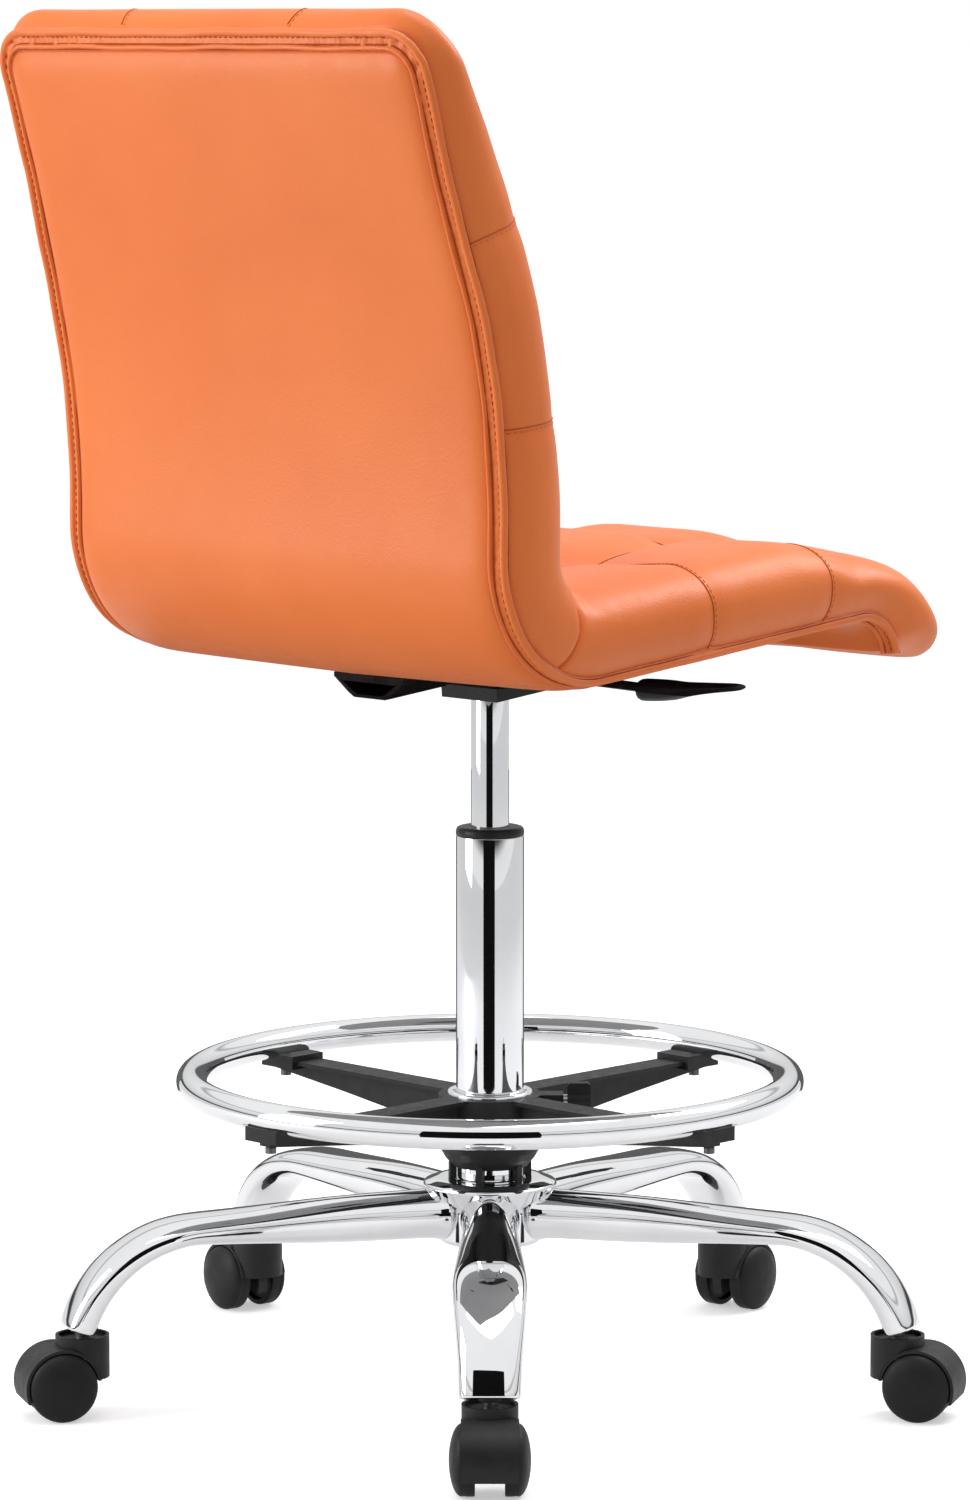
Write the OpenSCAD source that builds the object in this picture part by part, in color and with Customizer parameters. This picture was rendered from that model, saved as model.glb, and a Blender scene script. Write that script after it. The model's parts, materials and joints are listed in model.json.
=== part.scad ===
// Height-adjustable drafting chair: five-leg caster base, sliding foot ring,
// gas lift column, tilting seat mechanism and a one-piece upholstered seat and back.
// Origin: on the floor, under the column axis. +Z is up. The seat faces -Y.

/* [Base] */
// Distance from the column axis to each caster stem
caster_circle_r = 310; // [290:1:330]
// Turn of the whole base about the column, one leg points this way
base_yaw = 134; // [0:1:180]
// Height of the top face of the base hub
hub_top_z = 157; // [154:1:158]

/* [Casters] */
// Radius of each caster wheel
wheel_r = 25; // [25:0.5:25.5]
// Width of each caster wheel
wheel_w = 18; // [15:0.5:19]
// How far the outer face of each wheel bulges beyond its tread
wheel_dome = 9; // [6:0.5:10]
// Free space between the two wheels of a caster
wheel_gap = 20.5; // [18:0.5:22]
// Distance that the wheels trail behind the caster stem
caster_trail = 18.5; // [17:0.5:20]

/* [Column] */
// Outer radius of the fixed column tube
column_r = 25; // [25:0.5:25]
// Height of the top of the fixed column tube
column_top_z = 411; // [390:1:420]
// Outer radius of the sliding lift cylinder
lift_r = 14; // [14:0.5:14]

/* [Foot ring] */
// Radius of the ring's centreline
ring_r = 220; // [200:1:230]
// Radius of the ring's tube
ring_tube_r = 10.75; // [9:0.25:11]
// Height of the ring's centreline at its lowest setting
ring_z = 230; // [228:1:232]
// Turn of the four ring arms about the column
arm_yaw = 179; // [0:1:180]

/* [Seat] */
// Half of the width of the upholstered seat and back
seat_half_w = 224; // [215:1:230]
// Thickness of the seat and back pads in front of the shell board
pad_t = 50; // [42:1:54]
// Length of the straight upper part of the back
back_len = 167; // [140:1:190]
// Rake of the upper back from the vertical
back_rake = 17; // [12:1:20]
// Slope of the seat, front edge up
seat_slope = 5; // [5:0.5:5]

/* [Hidden] */

$fn = 48;
run = 0.05;                    // radial clearance of a running fit

// Base
hub_r = 39;
hub_rim_r = 49.5;
hub_bottom_z = 109;
hub_rim_z = 154;
leg_start_r = 30;
leg_arc_r = 96;                // bend of the leg down to its caster
leg_arc_c = [caster_circle_r - 88, 36];
leg_arc_end = 17;
socket_r = 8;
socket_bottom_z = 62;
socket_top_z = 81;
stem_r = 5.5;
leg_w = [[30, 39], [111, 40], [180, 48], [250, 53], [285, 49], [320, 41]];
leg_h = [[30, 37], [120, 34], [186, 24], [232, 20], [275, 21], [320, 25]];

// Casters
barrel_r = 19.6;
barrel_top_z = 60;
hood_r = 28;
hood_inner_r = wheel_r + 0.8;
hood_half_w = 20;
web_half_w = 4;
axle_r = 3;

// Column
column_wall = 1.5;
column_bore_r = column_r - column_wall;
rod_r = 5;
piston_z = 372;
lift_bottom_z = 230;
lift_top_z = 538;
gas_bore_r = 11;
gas_bore_top_z = 490;
pin_r = 4;
pin_top_z = 545;

// Foot ring
foot_hub_top_z = 219;
arm_end_r = 232;
screw_head_z = 208.5;
bush_r = 32;
clamp_yaw = arm_yaw + 45;
clamp_z = 214;

// Side profile of the shell: rake line, lumbar arc, bend under the seat, seat line, front lip
lumbar_c = [807.5, 655];
lumbar_r = 600;
bend_c = [122.5, 638];
bend_r = 85;
bend_split = -67;              // angle in the bend where the back pad meets the seat pad
lip_c_y = -165;
lip_r = 40;
board_t = 10;
cover_t = 14;

// Mechanism, in a frame that slopes with the seat; its heights count from the shell profile
plate_top_t = -cover_t;
plate_t = 3;
plate_bottom_t = plate_top_t - plate_t;
housing_bottom_t = -49;
housing_half_w = 28;
housing_wall = 3;
housing_rear_y = 26;
housing_front_y = -112;
tilt_y = -75;
tilt_t = -29;
tilt_pin_r = 5;
lever_y = -45;
lever_z = 526;
lever_r = 3.5;
bolt_xs = [-58, 58];
bolt_ys = [-95, 75];
bolt_r = 3;

function polar(r, a) = [r * cos(a), r * sin(a)];

// Points of an arc as [y, z, normal y, normal z]; side is 1 for outward normals, -1 for inward
function arc_points(c, r, a0, a1, n, side) =
    [for (i = [0:n]) let (a = a0 + (a1 - a0) * i / n)
        concat(c + polar(r, a), side * polar(1, a))];

lumbar_top = lumbar_c + polar(lumbar_r, 180 - back_rake);
back_top = lumbar_top + back_len * [sin(back_rake), cos(back_rake)];
bend_end = bend_c + polar(bend_r, -90 - seat_slope);
lip_start_z = bend_end.y + (bend_end.x - lip_c_y) * tan(seat_slope);
lip_c = [lip_c_y, lip_start_z - lip_r * cos(seat_slope)];
function seat_z(y) = bend_end.y + (bend_end.x - y) * tan(seat_slope);

back_path = concat(
    [concat(back_top, -polar(1, -back_rake))],
    arc_points(lumbar_c, lumbar_r, 180 - back_rake, 180, 6, 1),
    arc_points(bend_c, bend_r, 0, bend_split, 6, -1));
seat_path = concat(
    arc_points(bend_c, bend_r, bend_split, -90 - seat_slope, 3, -1),
    arc_points(lip_c, lip_r, 90 - seat_slope, 180, 8, 1));
// The board and its cover stop one step of the arc short of the front end of the pad
shell_path = concat(back_path, [for (i = [1:len(seat_path) - 2]) seat_path[i]]);

function offset_path(path, t) = [for (p = path) [p[0] + t * p[2], p[1] + t * p[3]]];
function reversed(list) = [for (i = [len(list) - 1:-1:0]) list[i]];

// A layer of the upholstery between depths t0 and t1 along a side profile, from x0 to x1
module layer(path, t0, t1, x0, x1) {
    translate([x0, 0, 0])
        rotate([90, 0, 90])
            linear_extrude(x1 - x0)
                polygon(concat(offset_path(path, t0), reversed(offset_path(path, t1))));
}

// Places children in the sloped frame of the seat: z = 0 is the shell profile at y = 0
module seat_frame() {
    translate([0, 0, seat_z(0)])
        rotate([-seat_slope, 0, 0])
            children();
}

// Round corners at the top of the back and the front of the seat, seen from the front and above
module rounded_outline(half_w, y0, y1, r) {
    translate([-half_w, y0])
        square([2 * half_w, y1 - y0 - r]);
    translate([-half_w + r, y0])
        square([2 * half_w - 2 * r, y1 - y0]);
    for (x = [-half_w + r, half_w - r])
        translate([x, y1 - r])
            circle(r);
}

/* ---- Base ---- */

module base_hub() {
    color("gainsboro")
        difference() {
            rotate_extrude()
                polygon([
                    [column_r, hub_bottom_z], [hub_r - 3, hub_bottom_z], [hub_r, hub_bottom_z + 3],
                    [hub_r, hub_rim_z - 16], [hub_rim_r - 2, hub_rim_z - 5], [hub_rim_r, hub_rim_z - 2],
                    [hub_rim_r - 1, hub_rim_z], [hub_rim_r - 9, hub_top_z], [column_r, hub_top_z]]);
            for (k = [1:5])
                leg_blank(k);
        }
}

// Centreline of a leg as [distance from the axis, height, direction]
leg_line_z = leg_arc_c.y + leg_arc_r;
leg_stations = concat(
    [for (r = [leg_start_r, 60, 95, 130, 160, 190]) [r, leg_line_z, 0]],
    [for (i = [0:9]) let (a = 90 - (90 - leg_arc_end) * i / 9)
        concat(leg_arc_c + polar(leg_arc_r, a), [a - 90])]);

// One ring of points around a leg's flattened round section
leg_sides = 24;
function superellipse(a, n) = [sign(cos(a)) * pow(abs(cos(a)), 2 / n), sign(sin(a)) * pow(abs(sin(a)), 2 / n)];
function leg_ring(s) = let (
        flat = lookup(s[0], [[40, 2], [190, 2.8], [320, 2.6]]),
        half_w = lookup(s[0], leg_w) / 2,
        half_h = lookup(s[0], leg_h) / 2)
    [for (j = [0:leg_sides - 1])
        let (q = superellipse((j + 0.5) * 360 / leg_sides, flat), up = q.y * half_h)
            [s[0] - up * sin(s[2]), q.x * half_w, s[1] + up * cos(s[2])]];

// Solid leg before it is cut to the hub and bored for its caster
module leg_blank(k) {
    n = len(leg_stations);
    points = [for (s = leg_stations) each leg_ring(s)];
    sides = [for (i = [0:n - 2], j = [0:leg_sides - 1])
        let (a = i * leg_sides + j, b = i * leg_sides + (j + 1) % leg_sides)
            [a, b, b + leg_sides, a + leg_sides]];
    faces = concat(sides,
        [reversed([for (j = [0:leg_sides - 1]) j])],
        [[for (j = [0:leg_sides - 1]) (n - 1) * leg_sides + j]]);
    rotate(base_yaw + 72 * (k - 1))
        polyhedron(points, [for (f = faces) reversed(f)]);
}

module at_stem(k) {
    rotate(base_yaw + 72 * (k - 1))
        translate([caster_circle_r, 0, 0])
            children();
}

module base_leg(k) {
    color("gainsboro")
        difference() {
            leg_blank(k);
            cylinder(r = column_r + 7, h = 200);
            at_stem(k)
                translate([0, 0, 40])
                    cylinder(r = socket_r, h = socket_top_z - 40);
        }
}

module caster_sockets() {
    color("dimgray")
        for (k = [1:5])
            at_stem(k)
                difference() {
                    translate([0, 0, socket_bottom_z])
                        cylinder(r = socket_r, h = socket_top_z - socket_bottom_z);
                    translate([0, 0, socket_bottom_z - 1])
                        cylinder(r = stem_r, h = socket_top_z - socket_bottom_z - 2);
                }
}

module caster_stems() {
    color("silver")
        for (k = [1:5])
            at_stem(k)
                translate([0, 0, 40])
                    cylinder(r = stem_r, h = socket_top_z - 3 - 40);
}

/* ---- Casters ---- */

module at_axle(k) {
    at_stem(k)
        translate([caster_trail, 0, wheel_r])
            rotate([-90, 0, 0])
                children();
}

module caster_housing(k) {
    recess_r = barrel_r - 2.4;
    color([0.13, 0.13, 0.14])
        at_stem(k)
            difference() {
                union() {
                    difference() {
                        union() {
                            translate([0, 0, 29])
                                cylinder(r = barrel_r, h = barrel_top_z - 29);
                            translate([caster_trail, hood_half_w, wheel_r])
                                rotate([90, 0, 0])
                                    cylinder(r = hood_r, h = 2 * hood_half_w);
                        }
                        translate([caster_trail, hood_half_w + 1, wheel_r])
                            rotate([90, 0, 0])
                                cylinder(r = hood_inner_r, h = 2 * hood_half_w + 2);
                        translate([caster_trail - 8, -30, -10])
                            cube([60, 60, 24.7]);
                        translate([-60, -30, -10])
                            cube([caster_trail + 60, 60, 39]);
                    }
                    intersection() {
                        translate([caster_trail, web_half_w, wheel_r])
                            rotate([90, 0, 0])
                                cylinder(r = hood_inner_r + 1, h = 2 * web_half_w);
                        translate([-30, -30, 15])
                            cube([90, 60, 60]);
                    }
                }
                translate([0, 0, barrel_top_z - 3])
                    cylinder(r = recess_r, h = 4);
                translate([0, 0, 38])
                    cylinder(r = stem_r + run, h = 30);
                translate([caster_trail, 30, wheel_r])
                    rotate([90, 0, 0])
                        cylinder(r = axle_r, h = 60);
            }
}

module caster_axle(k) {
    half = wheel_gap / 2 + wheel_w - 3;
    color("silver")
        at_axle(k)
            translate([0, 0, -half])
                cylinder(r = axle_r, h = 2 * half);
}

// A wheel lies on the +Z side of the axle frame when side is 1, on the other when it is -1
module wheel(k, side) {
    inner = wheel_gap / 2;
    outer = inner + wheel_w;
    boss_r = 7;
    color([0.16, 0.16, 0.17])
        at_axle(k)
            mirror([0, 0, side > 0 ? 0 : 1])
                rotate_extrude()
                    polygon(concat(
                        [[axle_r + run, web_half_w + 0.5], [boss_r, web_half_w + 0.5],
                         [boss_r, inner + 4], [wheel_r - 4, inner + 4],
                         [wheel_r - 4, inner], [wheel_r - 1, inner], [wheel_r, inner + 1]],
                        [for (a = [0:15:90]) [wheel_r * cos(a), outer - wheel_dome + wheel_dome * sin(a)]],
                        [[0, outer - 2.8], [axle_r + run, outer - 2.8]]));
}

/* ---- Column ---- */

module column_tube() {
    color("gainsboro")
        difference() {
            translate([0, 0, hub_bottom_z + 2])
                cylinder(r = column_r, h = column_top_z - hub_bottom_z - 2);
            translate([0, 0, hub_bottom_z])
                cylinder(r = column_bore_r, h = column_top_z);
        }
}

module column_bush() {
    color([0.1, 0.1, 0.11])
        rotate_extrude()
            polygon([
                [lift_r + run, 350], [column_bore_r, 350], [column_bore_r, column_top_z],
                [column_r - 0.4, column_top_z], [column_r - 0.4, column_top_z + 3],
                [column_r - 3, column_top_z + 4], [column_r - 3.5, column_top_z + 6.5],
                [lift_r + run, column_top_z + 6.5]]);
}

module column_base_plate() {
    color("silver")
        difference() {
            translate([0, 0, hub_bottom_z + 2])
                cylinder(r = column_bore_r, h = 4);
            translate([0, 0, hub_bottom_z])
                cylinder(r = rod_r + run, h = 8);
        }
}

module thrust_bearing() {
    color("silver")
        difference() {
            translate([0, 0, hub_bottom_z + 6.1])
                cylinder(r = 12, h = 5);
            cylinder(r = rod_r, h = 130);
        }
}

module piston_rod() {
    color("silver") {
        translate([0, 0, hub_bottom_z - 3])
            cylinder(r = rod_r, h = piston_z - hub_bottom_z + 4);
        translate([0, 0, piston_z])
            cylinder(r = gas_bore_r - run, h = 12);
    }
}

module retaining_clip() {
    color("silver")
        difference() {
            translate([0, 0, hub_bottom_z - 0.5])
                cylinder(r = 10, h = 1.4);
            cylinder(r = rod_r, h = 130);
        }
}

module lift_cylinder() {
    color("gainsboro")
        difference() {
            translate([0, 0, lift_bottom_z])
                cylinder(r = lift_r, h = lift_top_z - lift_bottom_z);
            translate([0, 0, lift_bottom_z + 6])
                cylinder(r = gas_bore_r, h = gas_bore_top_z - lift_bottom_z - 6);
            translate([0, 0, lift_bottom_z - 1])
                cylinder(r = rod_r + run, h = 8);
            translate([0, 0, gas_bore_top_z + 8])
                cylinder(r = pin_r + run, h = 60);
        }
}

module release_pin() {
    color("silver")
        translate([0, 0, gas_bore_top_z + 12])
            cylinder(r = pin_r, h = pin_top_z - gas_bore_top_z - 12);
}

/* ---- Foot ring ---- */

// One tapered arm of the hub, out along +X, with a saddle pad that carries the ring
module foot_arm() {
    top = foot_hub_top_z;
    rotate([90, 0, 0])
        translate([0, 0, -5])
            linear_extrude(10)
                polygon([[28, top - 31], [60, top - 30], [150, top - 18], [arm_end_r - 6, top - 9],
                         [arm_end_r - 6, top], [28, top]]);
    translate([0, -12, top - 3])
        rotate([-90, 0, 0])
            linear_extrude(24)
                polygon([[28, -3], [arm_end_r - 30, -3], [arm_end_r - 30, 0], [28, 0]]);
    translate([arm_end_r - 36, -16, top - 6])
        cube([34, 32, 10]);
}

module foot_hub() {
    color([0.14, 0.14, 0.15])
        difference() {
            union() {
                rotate_extrude()
                    polygon([[column_r + 0.4, 166], [28, 166], [30.5, 169], [33, 172], [36.5, 178],
                             [38, 185], [38, foot_hub_top_z], [column_r + 0.4, foot_hub_top_z]]);
                for (a = [0:90:270])
                    rotate(arm_yaw + a)
                        foot_arm();
                for (a = [0:60:300])
                    rotate(arm_yaw + a)
                        translate([26, -2.5, hub_top_z + 0.1])
                            cube([5, 5, 12]);
                rotate(clamp_yaw)
                    translate([30, -9, clamp_z - 9])
                        cube([24, 18, 14]);
            }
            rotate_extrude()
                translate([ring_r, ring_z])
                    circle(ring_tube_r);
            translate([0, 0, 200])
                cylinder(r = bush_r, h = 40);
            cylinder(r = column_r + 0.4, h = 300);
            for (a = [0:90:270])
                rotate(arm_yaw + a)
                    translate([ring_r, 0, 190])
                        cylinder(r = 2.5, h = 60);
            rotate(clamp_yaw)
                translate([0, 0, clamp_z])
                    rotate([0, 90, 0])
                        cylinder(r = 4 + run, h = 80);
        }
}

module foot_hub_bush() {
    color("gainsboro")
        difference() {
            translate([0, 0, 200])
                cylinder(r = bush_r, h = 22);
            translate([0, 0, 190])
                cylinder(r = column_r + run, h = 40);
            rotate(clamp_yaw)
                translate([0, 0, clamp_z])
                    rotate([0, 90, 0])
                        cylinder(r = 4 + run, h = 80);
        }
}

module foot_ring() {
    color("gainsboro")
        difference() {
            rotate_extrude()
                translate([ring_r, ring_z])
                    circle(ring_tube_r);
            for (a = [0:90:270])
                rotate(arm_yaw + a)
                    translate([ring_r, 0, 190])
                        cylinder(r = 2.5, h = ring_z - 190);
        }
}

module foot_ring_screws() {
    color("dimgray")
        for (a = [0:90:270])
            rotate(arm_yaw + a)
                translate([ring_r, 0, 0]) {
                    translate([0, 0, screw_head_z])
                        cylinder(r = 2.5, h = ring_z - screw_head_z);
                    translate([0, 0, screw_head_z - 4])
                        cylinder(r = 4, h = 4);
                }
}

module clamp_screw() {
    color("silver")
        rotate(clamp_yaw)
            translate([0, 0, clamp_z])
                rotate([0, 90, 0])
                    translate([0, 0, column_r + 1])
                        cylinder(r = 4, h = 38);
}

// Flat tab with round corners, turned by thumb and finger
module clamp_wing() {
    tab_w = 17;
    tab_h = 26;
    tab_t = 8;
    corner_r = 3;
    color([0.14, 0.14, 0.15])
        rotate(clamp_yaw)
            translate([57, 0, clamp_z])
                difference() {
                    union() {
                        translate([0, tab_t / 2, 0])
                            rotate([90, 0, 0])
                                linear_extrude(tab_t) {
                                    translate([corner_r, -tab_h / 2])
                                        square([tab_w - 2 * corner_r, tab_h]);
                                    translate([0, corner_r - tab_h / 2])
                                        square([tab_w, tab_h - 2 * corner_r]);
                                    for (x = [corner_r, tab_w - corner_r],
                                         z = [corner_r - tab_h / 2, tab_h / 2 - corner_r])
                                        translate([x, z])
                                            circle(corner_r);
                                }
                        rotate([0, 90, 0])
                            cylinder(r = 6.5, h = tab_w);
                    }
                    translate([-1, 0, 0])
                        rotate([0, 90, 0])
                            cylinder(r = 4, h = 8);
                }
}

/* ---- Seat mechanism ---- */

module mechanism_housing() {
    wall_x = housing_half_w - housing_wall;
    len_y = housing_rear_y - housing_front_y;
    color([0.07, 0.07, 0.08])
        difference() {
            union() {
                seat_frame()
                    difference() {
                        translate([-housing_half_w, 0, 0])
                            rotate([90, 0, 90])
                                linear_extrude(2 * housing_half_w)
                                    polygon([[housing_front_y, -24], [housing_front_y + 12, housing_bottom_t],
                                             [housing_rear_y, housing_bottom_t], [housing_rear_y, -35],
                                             [tilt_y + 12, plate_bottom_t - 4], [housing_front_y, plate_bottom_t - 4]]);
                        translate([-wall_x, housing_front_y + housing_wall, housing_bottom_t + housing_wall])
                            cube([2 * wall_x, len_y - 2 * housing_wall, 60]);
                    }
                intersection() {
                    translate([0, 0, 500])
                        cylinder(r = lift_r + 5, h = lift_top_z - 500);
                    seat_frame()
                        translate([-50, -50, housing_bottom_t])
                            cube(100);
                }
            }
            translate([0, 0, 400])
                cylinder(r = lift_r, h = 200);
            seat_frame()
                translate([-50, tilt_y, tilt_t])
                    rotate([0, 90, 0])
                        cylinder(r = tilt_pin_r, h = 100);
            translate([-50, lever_y, lever_z])
                rotate([0, 90, 0])
                    cylinder(r = lever_r + 1.5, h = 40);
        }
}

module tilt_pin() {
    color("silver")
        seat_frame()
            translate([-36, tilt_y, tilt_t])
                rotate([0, 90, 0])
                    cylinder(r = tilt_pin_r, h = 72);
}

// Torsion spring around the tilt pin, its turns drawn as closed rings
module tilt_spring() {
    wire_r = 1.8;
    color("dimgray")
        seat_frame()
            translate([0, tilt_y, tilt_t])
                rotate([0, 90, 0])
                    for (i = [-4:4])
                        translate([0, 0, i * 4.4])
                            rotate_extrude($fn = 32)
                                translate([tilt_pin_r + 0.6 + wire_r, 0])
                                    circle(wire_r, $fn = 16);
}

module seat_plate() {
    half_w = 75;
    front_y = -120;
    rear_y = 100;
    ear_x = housing_half_w + 1;
    ear_t = 3.5;
    color([0.07, 0.07, 0.08])
        seat_frame()
            difference() {
                union() {
                    translate([-half_w, front_y, plate_bottom_t])
                        cube([2 * half_w, rear_y - front_y, plate_t]);
                    for (x = [-ear_x - ear_t, ear_x])
                        translate([x, tilt_y - 12, tilt_t - 6])
                            cube([ear_t, 22, plate_bottom_t - tilt_t + 7]);
                }
                translate([-26, -52, -60])
                    cube([52, 90, 60]);
                for (x = bolt_xs, y = bolt_ys)
                    translate([x, y, -60])
                        cylinder(r = bolt_r + 0.2, h = 100);
                translate([-60, tilt_y, tilt_t])
                    rotate([0, 90, 0])
                        cylinder(r = tilt_pin_r + run, h = 120);
            }
}

module channel_outline(half_w, depth) {
    polygon([[-half_w, 0], [-0.62 * half_w, -0.75 * depth], [-0.45 * half_w, -depth],
             [0.45 * half_w, -depth], [0.62 * half_w, -0.75 * depth], [half_w, 0]]);
}

// Closed shape between two outlines of a channel, at distances y0 and y1 behind the column
module channel_block(half_w, depth, y0, y1) {
    hull()
        for (y = [y0, y1])
            translate([0, y, 0])
                rotate([90, 0, 0])
                    linear_extrude(0.2)
                        channel_outline(half_w, depth);
}

// Pressed channel under the rear of the plate, open at its rear end, with a tongue behind the plate
module plate_channel() {
    rear_y = 127;
    front_y = 66;
    half_w = 35;
    depth = 14;
    wall = 2.5;
    tongue_y = 100.2;
    color([0.07, 0.07, 0.08])
        seat_frame()
            translate([0, 0, plate_bottom_t])
                difference() {
                    union() {
                        channel_block(half_w, depth, front_y, rear_y);
                        translate([-half_w, tongue_y, -0.5])
                            cube([2 * half_w, rear_y - tongue_y, plate_t + 0.5]);
                    }
                    translate([0, 0, -wall])
                        channel_block(half_w - 3 * wall, depth - 2 * wall, front_y + 18, rear_y + 0.5);
                }
}

// Round bar between two points
module bar(a, b, r) {
    hull()
        for (p = [a, b])
            translate(p)
                sphere(r, $fn = 24);
}

// Points along the lever: bend inside the housing, mouth and end of the grip's collar, grip's tip
lever_bend = [-20, lever_y, lever_z];
collar_in = [-112, lever_y, 523.5];
collar_out = [-142, lever_y, 526.5];
lever_tip = [-206, lever_y, 531];

module lever_rod() {
    knee = [-14, -30, lever_z + 19];
    thumb = [-2, -2, pin_top_z + lever_r + 0.6];
    color([0.07, 0.07, 0.08]) {
        bar(lever_bend, collar_in + [-12, 0, 0.5], lever_r);
        bar(lever_bend, knee, lever_r);
        bar(knee, thumb, lever_r);
    }
}

// Flattened grip: a round collar on the rod, then a paddle that thins towards its tip
module lever_handle() {
    color([0.07, 0.07, 0.08])
        difference() {
            union() {
                hull() {
                    translate(collar_in)
                        rotate([0, -90, 0])
                            cylinder(r = 9, h = 4, $fn = 32);
                    translate(collar_out + [4, 0, 0])
                        rotate([0, -90, 0])
                            cylinder(r = 9, h = 4, $fn = 32);
                }
                hull() {
                    translate(collar_out + [0, 0, 3])
                        rotate([0, -90, 0])
                            cylinder(r = 6, h = 2, $fn = 32);
                    for (y = [-9, 9])
                        translate(lever_tip + [12, y, 0])
                            sphere(4, $fn = 24);
                    translate(lever_tip + [3.5, 0, 0.5])
                        sphere(3.5, $fn = 24);
                }
            }
            lever_rod();
        }
}

module seat_bolts() {
    color("dimgray")
        seat_frame()
            for (x = bolt_xs, y = bolt_ys)
                translate([x, y, 0]) {
                    translate([0, 0, plate_bottom_t])
                        cylinder(r = bolt_r, h = 24);
                    translate([0, 0, plate_bottom_t - 4])
                        cylinder(r = 5.5, h = 4, $fn = 6);
                }
}

module tee_nuts() {
    color("silver")
        seat_frame()
            for (x = bolt_xs, y = bolt_ys)
                translate([x, y, 0])
                    difference() {
                        cylinder(r = 4.5, h = board_t - 1);
                        translate([0, 0, -1])
                            cylinder(r = bolt_r, h = board_t + 2);
                    }
}

/* ---- Upholstery ---- */

// Opening through the cover and the board above the column
module mechanism_opening() {
    seat_frame()
        translate([-28, -54, -60])
            cube([56, 94, 60 + board_t + 0.5]);
}

module bolt_holes(r) {
    seat_frame()
        for (x = bolt_xs, y = bolt_ys)
            translate([x, y, -60])
                cylinder(r = r, h = 60 + board_t + 1);
}

// Keeps what lies inside rounded corners at the top of the back
module back_corners(r, top) {
    intersection() {
        children();
        translate([0, 420, 0])
            rotate([90, 0, 0])
                linear_extrude(840)
                    rounded_outline(seat_half_w, 400, top, r);
    }
}

module shell_board() {
    half_w = seat_half_w - 19;
    color("burlywood")
        difference() {
            back_corners(40, back_top.y - 6)
                layer(shell_path, 0, board_t, -half_w, half_w);
            mechanism_opening();
            bolt_holes(4.5);
        }
}

module rear_cover() {
    half_w = seat_half_w - 19;
    color("chocolate")
        difference() {
            back_corners(40, back_top.y - 2)
                layer(shell_path, -cover_t, 0, -half_w, half_w);
            mechanism_opening();
            bolt_holes(4.5);
        }
}

module edge_welt() {
    inner = seat_half_w - 19;
    outer = seat_half_w - 5;
    color("sienna") {
        layer(shell_path, -6, board_t, -outer, -inner);
        layer(shell_path, -6, board_t, inner, outer);
    }
}

module seat_pad() {
    color("chocolate")
        intersection() {
            layer(seat_path, board_t, board_t + pad_t, -seat_half_w, seat_half_w);
            translate([0, 0, 400])
                mirror([0, 1, 0])
                    linear_extrude(400)
                        rounded_outline(seat_half_w, -300, -lip_c.x + lip_r + board_t + pad_t, 40);
        }
}

module back_pad() {
    color("chocolate")
        back_corners(45, back_top.y + 17)
            layer(back_path, board_t, board_t + pad_t + 8, -seat_half_w, seat_half_w);
}

base_hub();
base_leg(1);  // base_leg_1
base_leg(2);  // base_leg_2
base_leg(3);  // base_leg_3
base_leg(4);  // base_leg_4
base_leg(5);  // base_leg_5
caster_sockets();
caster_stems();
caster_housing(1);  // caster_housing_1
caster_housing(2);  // caster_housing_2
caster_housing(3);  // caster_housing_3
caster_housing(4);  // caster_housing_4
caster_housing(5);  // caster_housing_5
caster_axle(1);  // caster_axle_1
caster_axle(2);  // caster_axle_2
caster_axle(3);  // caster_axle_3
caster_axle(4);  // caster_axle_4
caster_axle(5);  // caster_axle_5
wheel(1, -1);  // wheel_left_1
wheel(2, -1);  // wheel_left_2
wheel(3, -1);  // wheel_left_3
wheel(4, -1);  // wheel_left_4
wheel(5, -1);  // wheel_left_5
wheel(1, 1);  // wheel_right_1
wheel(2, 1);  // wheel_right_2
wheel(3, 1);  // wheel_right_3
wheel(4, 1);  // wheel_right_4
wheel(5, 1);  // wheel_right_5
column_tube();
column_bush();
column_base_plate();
thrust_bearing();
piston_rod();
retaining_clip();
lift_cylinder();
release_pin();
foot_hub();
foot_hub_bush();
foot_ring();
foot_ring_screws();
clamp_screw();
clamp_wing();
mechanism_housing();
tilt_pin();
tilt_spring();
seat_plate();
plate_channel();
lever_rod();
lever_handle();
seat_bolts();
tee_nuts();
shell_board();
seat_pad();
back_pad();
rear_cover();
edge_welt();
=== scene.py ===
import json
import math

import bmesh
import bpy
import numpy as np
from mathutils import Matrix, Vector, bvhtree, kdtree


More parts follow.
